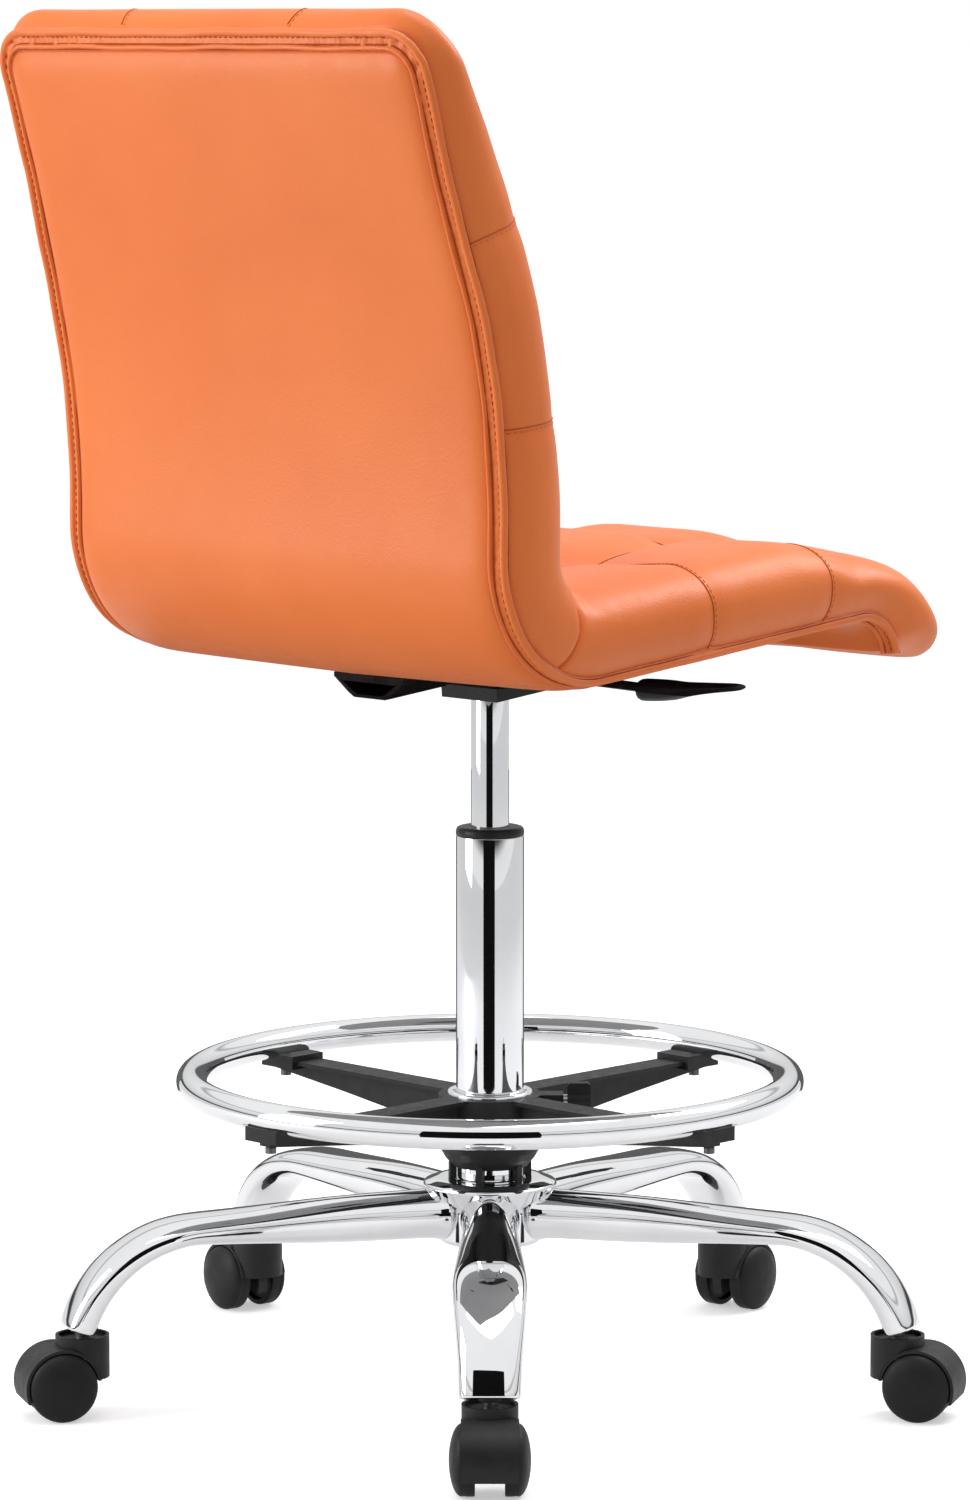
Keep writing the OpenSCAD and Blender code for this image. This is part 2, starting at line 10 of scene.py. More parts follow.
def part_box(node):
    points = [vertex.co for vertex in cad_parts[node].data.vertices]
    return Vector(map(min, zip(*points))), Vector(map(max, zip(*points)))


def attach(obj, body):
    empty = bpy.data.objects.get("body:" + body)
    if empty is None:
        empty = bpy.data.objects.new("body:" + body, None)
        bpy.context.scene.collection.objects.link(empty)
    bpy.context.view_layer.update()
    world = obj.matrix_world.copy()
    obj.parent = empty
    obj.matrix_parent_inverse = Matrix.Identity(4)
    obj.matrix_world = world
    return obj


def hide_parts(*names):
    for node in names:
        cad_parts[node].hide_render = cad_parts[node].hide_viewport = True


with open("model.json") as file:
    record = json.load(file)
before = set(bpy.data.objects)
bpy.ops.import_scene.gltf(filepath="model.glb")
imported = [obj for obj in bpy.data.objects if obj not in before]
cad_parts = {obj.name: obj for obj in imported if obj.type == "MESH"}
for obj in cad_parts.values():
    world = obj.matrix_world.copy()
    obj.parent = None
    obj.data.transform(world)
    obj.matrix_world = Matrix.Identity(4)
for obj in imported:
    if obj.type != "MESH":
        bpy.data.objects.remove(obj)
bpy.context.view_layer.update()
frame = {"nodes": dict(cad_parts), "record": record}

# ---- Camera: behind the chair, to its right, slightly above it ----

CAMERA_AZIMUTH = math.radians(224.05)
CAMERA_PITCH = math.radians(7.10)
CAMERA_DISTANCE = 4.2
CAMERA_HEIGHT = 0.9966
VIEW_YAW = math.radians(44)

camera = bpy.data.objects.new("camera", bpy.data.cameras.new("camera"))
bpy.context.scene.collection.objects.link(camera)
camera.data.lens = 139.0
camera.data.sensor_width = 36.0
camera.location = (
    -CAMERA_DISTANCE * math.sin(VIEW_YAW), CAMERA_DISTANCE * math.cos(VIEW_YAW), CAMERA_HEIGHT)
camera.rotation_euler = (math.pi / 2 - CAMERA_PITCH, 0, CAMERA_AZIMUTH)
bpy.context.scene.camera = camera

# ---- Materials ----


def new_material(name):
    """An empty node material with its shader, a coordinate source and a linker."""
    mat = bpy.data.materials.new(name)
    mat.use_nodes = True
    nodes = mat.node_tree.nodes
    nodes.clear()
    shader = nodes.new("ShaderNodeBsdfPrincipled")
    output = nodes.new("ShaderNodeOutputMaterial")
    mat.node_tree.links.new(shader.outputs[0], output.inputs[0])
    coords = nodes.new("ShaderNodeTexCoord").outputs["Object"]
    return mat, nodes, mat.node_tree.links, shader, coords


def noise(nodes, links, coords, scale, detail=3.0, stretch=None):
    """Noise texture over the object's coordinates, optionally stretched along some axes."""
    if stretch:
        mapping = nodes.new("ShaderNodeMapping")
        mapping.inputs["Scale"].default_value = stretch
        links.new(coords, mapping.inputs["Vector"])
        coords = mapping.outputs[0]
    tex = nodes.new("ShaderNodeTexNoise")
    tex.inputs["Scale"].default_value = scale
    tex.inputs["Detail"].default_value = detail
    links.new(coords, tex.inputs["Vector"])
    return tex.outputs["Fac"]


def ramp(nodes, links, value, low, high, start=0.3, end=0.7):
    """Maps a texture value to a number between low and high."""
    node = nodes.new("ShaderNodeMapRange")
    node.inputs["From Min"].default_value = start
    node.inputs["From Max"].default_value = end
    node.inputs["To Min"].default_value = low
    node.inputs["To Max"].default_value = high
    links.new(value, node.inputs["Value"])
    return node.outputs[0]


def colour_ramp(nodes, links, value, dark, light):
    """Maps a texture value to a colour between dark and light."""
    node = nodes.new("ShaderNodeValToRGB")
    node.color_ramp.elements[0].position = 0.3
    node.color_ramp.elements[0].color = (*dark, 1)
    node.color_ramp.elements[1].position = 0.7
    node.color_ramp.elements[1].color = (*light, 1)
    links.new(value, node.inputs[0])
    return node.outputs[0]


def bump(nodes, links, height, strength, distance, below=None):
    """Bump node from a height, stacked on the normal of another bump."""
    node = nodes.new("ShaderNodeBump")
    node.inputs["Strength"].default_value = strength
    node.inputs["Distance"].default_value = distance
    links.new(height, node.inputs["Height"])
    if below:
        links.new(below, node.inputs["Normal"])
    return node.outputs[0]


def leather(name, dark, light, grain=0.3, gloss=0.42):
    """Faux leather: pebbled grain, slow colour drift, faint creases, a little sheen."""
    mat, nodes, links, shader, coords = new_material(name)
    drift = noise(nodes, links, coords, 9, 3)
    links.new(colour_ramp(nodes, links, drift, dark, light), shader.inputs["Base Color"])
    cells = nodes.new("ShaderNodeTexVoronoi")
    cells.feature = "SMOOTH_F1"
    cells.inputs["Scale"].default_value = 620
    links.new(coords, cells.inputs["Vector"])
    pebbles = bump(nodes, links, cells.outputs["Distance"], grain, 0.0004)
    creases = bump(nodes, links, noise(nodes, links, coords, 42, 6), 0.05, 0.002, pebbles)
    links.new(creases, shader.inputs["Normal"])
    wear = noise(nodes, links, coords, 90, 4)
    links.new(ramp(nodes, links, wear, 0.38, 0.46), shader.inputs["Roughness"])
    shader.inputs["Specular IOR Level"].default_value = gloss
    shader.inputs["Sheen Weight"].default_value = 0.05
    shader.inputs["Sheen Roughness"].default_value = 0.4
    return mat


def metal(name, dark, light, rough, grain_scale=60, stretch=None, depth=0.0):
    """Metal with smudges in its roughness and, where depth is given, drawn or brushed marks."""
    mat, nodes, links, shader, coords = new_material(name)
    shader.inputs["Metallic"].default_value = 1.0
    drift = noise(nodes, links, coords, 20)
    links.new(colour_ramp(nodes, links, drift, dark, light), shader.inputs["Base Color"])
    smudge = noise(nodes, links, coords, grain_scale, 5, stretch)
    links.new(ramp(nodes, links, smudge, rough[0], rough[1]), shader.inputs["Roughness"])
    if depth:
        links.new(bump(nodes, links, smudge, 0.3, depth), shader.inputs["Normal"])
    return mat


def plastic(name, dark, light, rough, grain_scale, grain, gloss=0.3):
    """Moulded plastic or enamel with a spark-eroded grain."""
    mat, nodes, links, shader, coords = new_material(name)
    shader.inputs["Specular IOR Level"].default_value = gloss
    drift = noise(nodes, links, coords, 30)
    links.new(colour_ramp(nodes, links, drift, dark, light), shader.inputs["Base Color"])
    smudge = noise(nodes, links, coords, 110, 4)
    links.new(ramp(nodes, links, smudge, rough[0], rough[1]), shader.inputs["Roughness"])
    pits = noise(nodes, links, coords, grain_scale, 2)
    links.new(bump(nodes, links, pits, grain, 0.0003), shader.inputs["Normal"])
    return mat


def wood(name, dark, light):
    """Plywood with stretched grain."""
    mat, nodes, links, shader, coords = new_material(name)
    grain = noise(nodes, links, coords, 30, 6, (12, 1, 1))
    links.new(colour_ramp(nodes, links, grain, dark, light), shader.inputs["Base Color"])
    links.new(ramp(nodes, links, grain, 0.55, 0.75), shader.inputs["Roughness"])
    links.new(bump(nodes, links, grain, 0.3, 0.0005), shader.inputs["Normal"])
    return mat


MATERIALS = {
    "seat_leather": leather("orange_leather", (0.775, 0.168, 0.026), (0.825, 0.192, 0.034)),
    "chrome": metal("chrome", (0.80, 0.81, 0.83), (0.86, 0.87, 0.88), (0.012, 0.035)),
    "bright_steel": metal(
        "bright_steel", (0.5, 0.5, 0.52), (0.62, 0.62, 0.64), (0.22, 0.38), 90, (1, 1, 12), 0.0002),
    "dark_steel": metal(
        "dark_steel", (0.10, 0.10, 0.11), (0.16, 0.16, 0.17), (0.35, 0.5), 150, None, 0.0002),
    "black_nylon": plastic(
        "black_nylon", (0.008, 0.008, 0.009), (0.014, 0.014, 0.015), (0.42, 0.55), 1500, 0.35, 0.32),
    "wheel_nylon": plastic(
        "wheel_nylon", (0.006, 0.006, 0.007), (0.011, 0.011, 0.012), (0.42, 0.56), 1200, 0.3, 0.26),
    "bush_plastic": plastic(
        "bush_plastic", (0.006, 0.006, 0.007), (0.01, 0.01, 0.011), (0.3, 0.42), 900, 0.15),
    "black_enamel": plastic(
        "black_enamel", (0.004, 0.004, 0.005), (0.008, 0.008, 0.009), (0.2, 0.34), 500, 0.1, 0.24),
    "grip_plastic": plastic(
        "grip_plastic", (0.006, 0.006, 0.007), (0.01, 0.01, 0.011), (0.40, 0.52), 900, 0.15, 0.2),
    "plywood": wood("plywood", (0.42, 0.27, 0.14), (0.62, 0.44, 0.26)),
}
SEAM_LEATHER = leather("seam_leather", (0.42, 0.085, 0.010), (0.50, 0.11, 0.014), 0.1, 0.08)
# darker leather for the welt's crease lines: painted shade in those creases
CREASE_SHADE_LEATHER = leather("painted_crease_shade", (0.36, 0.055, 0.006), (0.44, 0.075, 0.009), 0.1, 0.08)
THREAD = leather("thread", (0.60, 0.13, 0.03), (0.76, 0.19, 0.06), 0.5, 0.1)
FACET_ANGLE = 28                # edges sharper than this stay hard on CAD nodes, in degrees

node_slot = {row["node"]: row["material_slot"] for row in frame["record"]["subparts"]}
for node, obj in frame["nodes"].items():
    obj.data.materials.clear()
    obj.data.materials.append(MATERIALS[node_slot[node]])
    obj.data.polygons.foreach_set("use_smooth", [True] * len(obj.data.polygons))
    obj.data.set_sharp_from_angle(angle=math.radians(FACET_ANGLE))

# ---- Mesh helpers ----


def piece(name, verts, faces, material, body, slot, replaces=(), levels=0, sharp=None):
    """A smooth-shaded mesh piece that rides on a body and may replace CAD nodes."""
    mesh = bpy.data.meshes.new(name)
    mesh.from_pydata([tuple(v) for v in verts], [], [tuple(f) for f in faces])
    mesh.update()
    work = bmesh.new()
    work.from_mesh(mesh)
    bmesh.ops.recalc_face_normals(work, faces=work.faces)
    work.to_mesh(mesh)
    work.free()
    mesh.polygons.foreach_set("use_smooth", [True] * len(mesh.polygons))
    if sharp:
        mesh.set_sharp_from_angle(angle=math.radians(sharp))
    obj = bpy.data.objects.new(name, mesh)
    bpy.context.scene.collection.objects.link(obj)
    mesh.materials.append(material)
    if levels:
        smooth = obj.modifiers.new("smooth", "SUBSURF")
        smooth.levels = smooth.render_levels = levels
    if replaces:
        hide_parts(*replaces)
    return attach(obj, body)


def grid_faces(rows, cols, wrap=False, first=0):
    """Quads over rows x cols vertices; wrap joins the last column to the first."""
    return [
        (first + i * cols + j, first + i * cols + (j + 1) % cols,
         first + (i + 1) * cols + (j + 1) % cols, first + (i + 1) * cols + j)
        for i in range(rows - 1)
        for j in range(cols if wrap else cols - 1)
    ]


def lathe(profile, segments=96, matrix=None):
    """Vertices and faces of a closed profile [(radius, height), ...] turned about Z; radius 0 is a pole."""
    verts, rings = [], []
    for r, z in profile:
        count = segments if r > 0 else 1
        rings.append([len(verts) + j for j in range(count)])
        for j in range(count):
            a = 2 * math.pi * j / segments
            point = Vector((r * math.cos(a), r * math.sin(a), z))
            verts.append(matrix @ point if matrix else point)
    faces = []
    for low, high in zip(rings, rings[1:] + rings[:1]):
        if len(low) == 1 and len(high) == 1:
            continue
        for j in range(segments):
            k = j + 1
            corners = (low[j % len(low)], low[k % len(low)], high[k % len(high)], high[j % len(high)])
            faces.append(tuple(dict.fromkeys(corners)))
    return verts, faces


def rounded(profile, radius, steps=4):
    """The closed profile with each corner rounded by up to the given radius."""
    result = []
    n = len(profile)
    for i in range(n):
        before, here, after = (Vector(profile[(i + k) % n]) for k in (-1, 0, 1))
        to_before, to_after = before - here, after - here
        cut = min(radius, 0.4 * to_before.length, 0.4 * to_after.length)
        start = here + to_before.normalized() * cut
        end = here + to_after.normalized() * cut
        for k in range(steps + 1):
            f = k / steps
            result.append(tuple(start * (1 - f) ** 2 + here * 2 * f * (1 - f) + end * f ** 2))
    return result


# ---- Side profile of the shell, by length along it from the top of the back ----

RAKE = math.radians(17)
BACK_TOP = (0.2825, 0.9901)
SEGMENTS = [  # (length, turn)
    (0.167, 0), (0.6 * RAKE, RAKE), (0.017, 0), (0.085 * math.radians(95), -math.radians(95)),
    (0.2777, 0), (0.040 * math.radians(95), math.radians(95)),
]
SHELL_LENGTH = sum(length for length, turn in SEGMENTS)
STEP = 0.0005
SPARE = 0.08                    # straight run-out past each end
TOP_TAPER = 0.028               # share of its width that the back loses at the top


def trace_profile():
    """Samples of length, y, z and tangent angle along the profile, with straight run-outs."""
    y, z = BACK_TOP
    heading = 1.5 * math.pi - RAKE
    y -= SPARE * math.cos(heading)
    z -= SPARE * math.sin(heading)
    rows = [(-SPARE, y, z, heading)]
    for length, turn in [(SPARE, 0)] + SEGMENTS + [(SPARE, 0)]:
        count = round(length / STEP)
        for _ in range(count):
            heading += turn / count / 2
            y += length / count * math.cos(heading)
            z += length / count * math.sin(heading)
            heading += turn / count / 2
            rows.append((rows[-1][0] + length / count, y, z, heading))
    return np.array(rows).T


PROFILE = trace_profile()


def on_shell(points):
    """Maps rows of (length along the profile, x, depth in front of it) to space.

    The top of the back is a little narrower than the rest."""
    p = np.array(points, float)
    p[:, 1] *= 1 - TOP_TAPER * np.clip((0.2 - p[:, 0]) / 0.1, 0, 1)
    y, z, heading = (np.interp(p[:, 0], PROFILE[0], PROFILE[k]) for k in (1, 2, 3))
    return np.stack([p[:, 1], y + p[:, 2] * np.sin(heading), z - p[:, 2] * np.cos(heading)], 1)


# ---- Upholstery ----

S_BEND = 0.167 + 0.6 * RAKE + 0.017
BEND_R = 0.085
BEND_MIDDLE = S_BEND + BEND_R * math.radians(95) / 2
S_JOIN = S_BEND + BEND_R * math.radians(67)       # where the back pad meets the seat pad
# depth in front of the shell, and how far that seam strays there, in degrees round the bend
JOIN_CURVE = ((0, 0.028, 0.035, 0.046), (-1.5, 2.0, 1.0, -4.0))
JOIN_NIP = 0.0026               # the sides pull in by this much at that seam
JOIN_GAP = 0.0003               # each pad stops this far from it
SEAM_X = 0.088
BACK_SEAMS = [0.140, 0.272]
SEAT_SEAMS = [S_JOIN + 0.153, S_JOIN + 0.283]
BULGE_X = 0.2255
EDGE_R = 0.045
CREST_R = 0.036
PAD_FOOT = -0.002
FRONT_WAIST = 0.045             # the seat's front end slants in below this depth
BACK_TOP_T = 0.067
BACK_TOP_S = -0.0155
BACK_TOP_R = 0.042
SEAT_TOP_T = 0.067
# length along the shell, and each pad's thickness there
BACK_CREST = (
    (0, 0.045, 0.075, 0.11, 0.16, 0.25, 0.32),
    (0.038, 0.0465, 0.053, 0.0585, 0.0625, 0.0625, BACK_TOP_T))
CORNER_DROP = 0.013             # the front of the back's top corners sits this much lower than its middle
CORNER_EAR = 0.007              # and their rear this much higher
SEAT_CREST = (
    (0.46, 0.712, 0.744, 0.779, 0.80, 0.825, 0.842, 0.87),
    (0.062, 0.0605, 0.056, 0.0488, 0.0510, 0.0595, 0.066, SEAT_TOP_T))
FRONT_SLOPE = ((0.085, 0.180), (0, 0.0095))       # x, and how far the front edge has fallen there
FRONT_SLOPE_S = 0.795


def valley(distance, width):
    """1 on a seam, falling to 0 at the given width; a cusp, as two pillows meet."""
    q = np.clip(1 - np.abs(distance) / width, 0, 1)
    return q ** 2.4


def tuft_depth(s, x, seams):
    """How far the cover is pulled in at each point of a pad's face."""
    across = np.abs(np.abs(x) - SEAM_X)
    along = np.min([np.abs(s - k) for k in seams], axis=0)
    pull = np.exp(-(across / 0.026) ** 2) * np.exp(-(along / 0.026) ** 2)
    side = np.clip((np.abs(x) - 0.12) / 0.07, 0, 1)
    long_seam = (0.0095 + 0.006 * np.exp(-(along / 0.035) ** 2)) * valley(across, 0.062)
    cross_depth = 0.0075 + 0.006 * np.exp(-(across / 0.035) ** 2)
    cross_seam = cross_depth * (1 - 0.78 * side) * valley(along, 0.058 - 0.035 * side)
    return (long_seam ** 3 + cross_seam ** 3) ** (1 / 3) + 0.0035 * pull


def pad_grid(s0, s1, top, ends, joined, cell=0.0055):
    """Surface of a rounded box in (length, x, depth). ends gives each end's rounding radius; an end that is
    joined to the other pad stays square at its sides and only rolls over at the face."""
    r0, r1 = ends
    n_s, n_x, n_t = (max(2, round(size / cell)) for size in (s1 - s0, 2 * BULGE_X, top - PAD_FOOT))
    index, points, faces = {}, [], []

    def vertex(i, j, k):
        key = (i, j, k)
        if key not in index:
            index[key] = len(points)
            points.append((
                s0 + (s1 - s0) * i / n_s, BULGE_X * (2 * j / n_x - 1), PAD_FOOT + (top - PAD_FOOT) * k / n_t))
        return index[key]

    def quad(*corners):
        faces.append(tuple(vertex(*corner) for corner in corners))

    for i in range(n_s):
        for j in range(n_x):
            for k in (0, n_t):
                quad((i, j, k), (i + 1, j, k), (i + 1, j + 1, k), (i, j + 1, k))
    for i in range(n_s):
        for k in range(n_t):
            for j in (0, n_x):
                quad((i, j, k), (i + 1, j, k), (i + 1, j, k + 1), (i, j, k + 1))
    for j in range(n_x):
        for k in range(n_t):
            for i in (0, n_s):
                quad((i, j, k), (i, j + 1, k), (i, j + 1, k + 1), (i, j, k + 1))
    p = np.array(points)
    first = p[:, 0] < (s0 + s1) / 2
    radius_s = np.where(first, r0, r1)
    joint = np.where(first, *joined)
    inner = np.stack([
        np.clip(p[:, 0], s0 + r0, s1 - r1),
        np.clip(p[:, 1], -BULGE_X + EDGE_R, BULGE_X - EDGE_R),
        np.clip(p[:, 2], None, top - CREST_R)], 1)
    radius = np.stack([radius_s, np.full(len(p), EDGE_R), np.full(len(p), CREST_R)], 1)
    reach = (p - inner) / radius
    end = np.abs(reach[:, 0]) * joint
    roll = end * math.pi / 2
    away = np.sign(reach[:, 0])
    reach[:, 0] *= 1 - joint
    # spread the grid evenly over the rounding, then put it on the rounding itself
    reach = np.tan(reach * math.pi / 4)
    size = np.linalg.norm(reach, axis=1)
    square = np.max(np.abs(reach), axis=1)
    reach *= np.where(size > 0, square / np.maximum(size, 1e-9), 0)[:, None]
    p = inner + reach * radius
    p[:, 0] += away * radius_s * np.sin(roll)
    p[:, 2] = PAD_FOOT + (p[:, 2] - PAD_FOOT) * (1 - radius_s * (1 - np.cos(roll)) / (top - PAD_FOOT))
    p[:, 1] *= 1 - JOIN_NIP / BULGE_X * np.clip((end - 0.5) / 0.5, 0, 1) ** 2
    return p, faces


def draw_in_foot(p, s0, s1, waist=0.020, pull=0.011, ends=(1, 1)):
    """Below its widest line a pad curves in to meet the welt."""
    low = np.clip((waist - p[:, 2]) / (waist - PAD_FOOT), 0, 1) ** 2
    centre = (s0 + s1) / 2
    half = (s1 - s0) / 2
    p[:, 1] *= 1 - low * pull / BULGE_X
    toward = (p[:, 0] - centre) / half
    share = np.where(toward < 0, ends[0], ends[1])
    if s0 > 0:
        low = np.clip((FRONT_WAIST - p[:, 2]) / (FRONT_WAIST - PAD_FOOT), 0, 1)
    p[:, 0] -= low * pull * toward * share
    return p


def bend_join(p):
    """The seam between back and seat runs in a shallow curve from the welt up to the face."""
    near = np.clip(1 - np.abs(p[:, 0] - S_JOIN) / 0.11, 0, 1)
    p[:, 0] += BEND_R * np.radians(np.interp(p[:, 2], *JOIN_CURVE)) * near * near * (3 - 2 * near)
    return p


def shape_pad(p, seams, crest):
    """Tufts: each cell is crowned and each seam pulled in, least where the cover rolls over the side."""
    face = np.clip((p[:, 2] - 0.016) / (crest - 0.016), 0, 1)
    depth = tuft_depth(p[:, 0], p[:, 1], seams)
    p[:, 2] -= depth * face ** 1.5
    ring = np.min([np.abs(p[:, 0] - k) for k in seams], axis=0)
    nip = 0.0022 * np.clip(1 - ring / 0.02, 0, 1) ** 2 * (1 - face)
    p[:, 1] -= np.sign(p[:, 1]) * nip * (np.abs(p[:, 1]) > 0.15)
    return p


PUFF = 0.006                    # most that the cloth simulation may move a point


def inflate(obj, held, cap, pressure=4.0, frames=20):
    """Puffs the piece with cloth pressure; held pins each vertex by its weight, cap limits its movement."""
    scene = bpy.context.scene
    group = obj.vertex_groups.new(name="held")
    for i, weight in enumerate(held):
        group.add([i], float(weight), "REPLACE")
    before = np.array([v.co for v in obj.data.vertices])
    cloth = obj.modifiers.new("puff", "CLOTH")
    settings = cloth.settings
    settings.quality = 6
    settings.mass = 0.4
    settings.tension_stiffness = 12
    settings.compression_stiffness = 12
    settings.shear_stiffness = 6
    settings.bending_stiffness = 0.8
    settings.vertex_group_mass = "held"
    settings.pin_stiffness = 5
    settings.use_pressure = True
    settings.uniform_pressure_force = pressure
    settings.effector_weights.gravity = 0
    cloth.collision_settings.use_collision = False
    cloth.point_cache.frame_start = 1
    cloth.point_cache.frame_end = frames
    for step in range(1, frames + 1):
        scene.frame_set(step)
        bpy.context.view_layer.update()
    shaped = obj.evaluated_get(bpy.context.evaluated_depsgraph_get())
    after = np.array([v.co for v in shaped.to_mesh().vertices])
    shaped.to_mesh_clear()
    obj.modifiers.remove(cloth)
    scene.frame_set(1)
    move = after - before
    size = np.linalg.norm(move, axis=1)
    move *= (np.minimum(size, cap) / np.maximum(size, 1e-9))[:, None]
    obj.data.vertices.foreach_set("co", (before + move).ravel())
    obj.data.update()
    obj.vertex_groups.clear()


def apply_subdivision(obj):
    """One Catmull-Clark level, made permanent."""
    smooth = obj.modifiers.new("smooth", "SUBSURF")
    smooth.levels = 1
    shaped = obj.evaluated_get(bpy.context.evaluated_depsgraph_get())
    mesh = bpy.data.meshes.new_from_object(shaped)
    obj.modifiers.clear()
    old = obj.data
    obj.data = mesh
    bpy.data.meshes.remove(old)
    mesh.polygons.foreach_set("use_smooth", [True] * len(mesh.polygons))


def read_param(obj):
    """The (length, x, depth) that each vertex had when the pad was laid out."""
    data = np.zeros(len(obj.data.vertices) * 3)
    obj.data.attributes["layout"].data.foreach_get("vector", data)
    return data.reshape(-1, 3)


def make_pad(name, node, s0, s1, crests, ends, joined, seams):
    """One upholstered pad: laid out, tufted, puffed by a short cloth simulation and smoothed."""
    top = max(crests[1])
    p, faces = pad_grid(s0, s1, top, ends, joined)
    layout = p.copy()
    crest = np.interp(p[:, 0], *crests)
    if s0 > 0:
        near_front = np.clip(1 - np.abs(p[:, 0] - FRONT_SLOPE_S) / 0.045, 0, 1)
        crest -= np.interp(np.abs(p[:, 1]), *FRONT_SLOPE) * near_front ** 0.7
    p[:, 2] = PAD_FOOT + (p[:, 2] - PAD_FOOT) * (crest - PAD_FOOT) / (top - PAD_FOOT)
    p = shape_pad(p, seams, crest)
    p = draw_in_foot(p, s0, s1, ends=[0 if j else 1 for j in joined])
    p = bend_join(p)
    if s0 < 0:
        below_top = np.clip(1 - (p[:, 0] - s0) / 0.11, 0, 1)
        front = np.clip((p[:, 2] - 0.010) / 0.025, 0, 1)
        shift = CORNER_DROP * front - CORNER_EAR * (1 - front)
        p[:, 0] += shift * (np.abs(p[:, 1]) / BULGE_X) ** 3 * below_top ** 2
    obj = piece(name, on_shell(p), faces, MATERIALS["seat_leather"], "seat", "seat_leather", (node,))
    store = obj.data.attributes.new("layout", "FLOAT_VECTOR", "POINT")
    store.data.foreach_set("vector", layout.ravel())
    across = np.abs(np.abs(layout[:, 1]) - SEAM_X)
    along = np.min([np.abs(layout[:, 0] - k) for k in seams], axis=0)
    join = np.where(joined[0], layout[:, 0] - s0, s1 - layout[:, 0])
    near = np.minimum(np.minimum(across, along), join)
    held = np.clip(1 - near / 0.012, 0, 1)
    held = np.maximum(held, np.clip((0.014 - layout[:, 2]) / 0.006, 0, 1))
    inflate(obj, held, PUFF)
    apply_subdivision(obj)
    return obj


back_pad = make_pad("back_cushion", "back_pad", BACK_TOP_S, S_JOIN - JOIN_GAP, BACK_CREST,
                    (BACK_TOP_R, 0.018), (0, 1), BACK_SEAMS)
seat_pad = make_pad("seat_cushion", "seat_pad", S_JOIN + JOIN_GAP, SHELL_LENGTH + 0.003, SEAT_CREST,
                    (0.014, 0.018), (1, 0), SEAT_SEAMS)


# ---- Rear and bottom panel: one crowned sheet from the top of the back to under the front lip ----

PANEL_X = 0.2065
PANEL_TOP = 0.0065
PANEL_R = 0.0200
PANEL_END = SHELL_LENGTH - 0.008
OPENING = ((-0.028, 0.028), (-0.040, 0.054))     # x, and y behind and in front of the column


def outline_distance(s, x):
    """Distance inside the panel's outline, whose two top corners are round."""
    dx = PANEL_X - np.abs(x)
    ds = s - PANEL_TOP
    corner = (dx < PANEL_R) & (ds < PANEL_R)
    round_d = PANEL_R - np.hypot(PANEL_R - dx, PANEL_R - ds)
    return np.where(corner, round_d, np.minimum(dx, ds))


def make_rear_panel():
    cell = 0.005
    n_s = round((PANEL_END - PANEL_TOP) / cell)
    n_x = round(2 * PANEL_X / cell)
    rows, columns = np.linspace(PANEL_TOP, PANEL_END, n_s + 1), np.linspace(-PANEL_X, PANEL_X, n_x + 1)
    s, x = np.meshgrid(rows, columns, indexing="ij")
    s, x = s.ravel(), x.ravel()
    # bring the square corners of the grid onto the round ones
    ds, dx = s - PANEL_TOP, PANEL_X - np.abs(x)
    corner = (ds < PANEL_R) & (dx < PANEL_R)
    a, b = (PANEL_R - ds) / PANEL_R, (PANEL_R - dx) / PANEL_R
    squeeze = np.maximum(a, b) / np.maximum(np.hypot(a, b), 1e-9)
    s = np.where(corner, PANEL_TOP + PANEL_R * (1 - a * squeeze), s)
    x = np.where(corner, np.sign(x) * (PANEL_X - PANEL_R * (1 - b * squeeze)), x)
    d = np.clip(outline_distance(s, x), 0, None)
    crown = 0.0055 + 0.0050 * (1 - np.exp(-d / 0.007)) + 0.0028 * np.clip(d / PANEL_X, 0, 1) ** 0.8
    crown += 0.0010 * np.exp(-((s - BEND_MIDDLE) / 0.05) ** 2)
    lip = np.clip((s - (SHELL_LENGTH - 0.075)) / 0.06, 0, 1)
    crown -= 0.004 * lip
    points = on_shell(np.stack([s, x, -crown], 1))
    (x_low, x_high), (y_low, y_high) = OPENING
    faces = []
    for face in grid_faces(n_s + 1, n_x + 1):
        centre = points[list(face)].mean(axis=0)
        if not (x_low < centre[0] < x_high and y_low < -centre[1] < y_high and centre[2] < 0.6):
            faces.append(face)
    obj = piece("rear_panel", points, faces, MATERIALS["seat_leather"], "seat", "seat_leather",
                ("rear_cover",))
    thick = obj.modifiers.new("thickness", "SOLIDIFY")
    thick.thickness = 0.0022
    thick.offset = -1
    smooth = obj.modifiers.new("smooth", "SUBSURF")
    smooth.levels = smooth.render_levels = 1
    return obj


make_rear_panel()

# ---- Welt: gathered band with a piping along each edge, up one side, over the top and down the other ----

WELT_R = 0.0185
WELT_TOP = PANEL_TOP


def welt_path(step=0.0028):
    """Stations round the panel: length, x, and the outward direction in both."""
    side = PANEL_END - WELT_TOP - WELT_R
    half = 0.205 - WELT_R
    rows = []
    for f in np.linspace(0, 1, round(side / step)):
        rows.append((PANEL_END - side * f, -0.205, 0, -1))
    for a in np.linspace(0, math.pi / 2, round(WELT_R * 2.2 / step))[1:]:
        across, along = math.cos(a), math.sin(a)
        rows.append((WELT_TOP + WELT_R * (1 - along), -half - WELT_R * across, -along, -across))
    for f in np.linspace(0, 1, round(half / step))[1:]:
        rows.append((WELT_TOP, -half * (1 - f), -1, 0))
    mirrored = [(s, -x, out_s, -out_x) for s, x, out_s, out_x in reversed(rows[:-1])]
    return np.array(rows + mirrored)


def beside(stations, out, depth):
    """Layout points at a distance outwards from the stations of the welt, and at a depth."""
    return np.stack([stations[:, 0] + out * stations[:, 2], stations[:, 1] + out * stations[:, 3],
                     np.full(len(stations), depth)], 1)


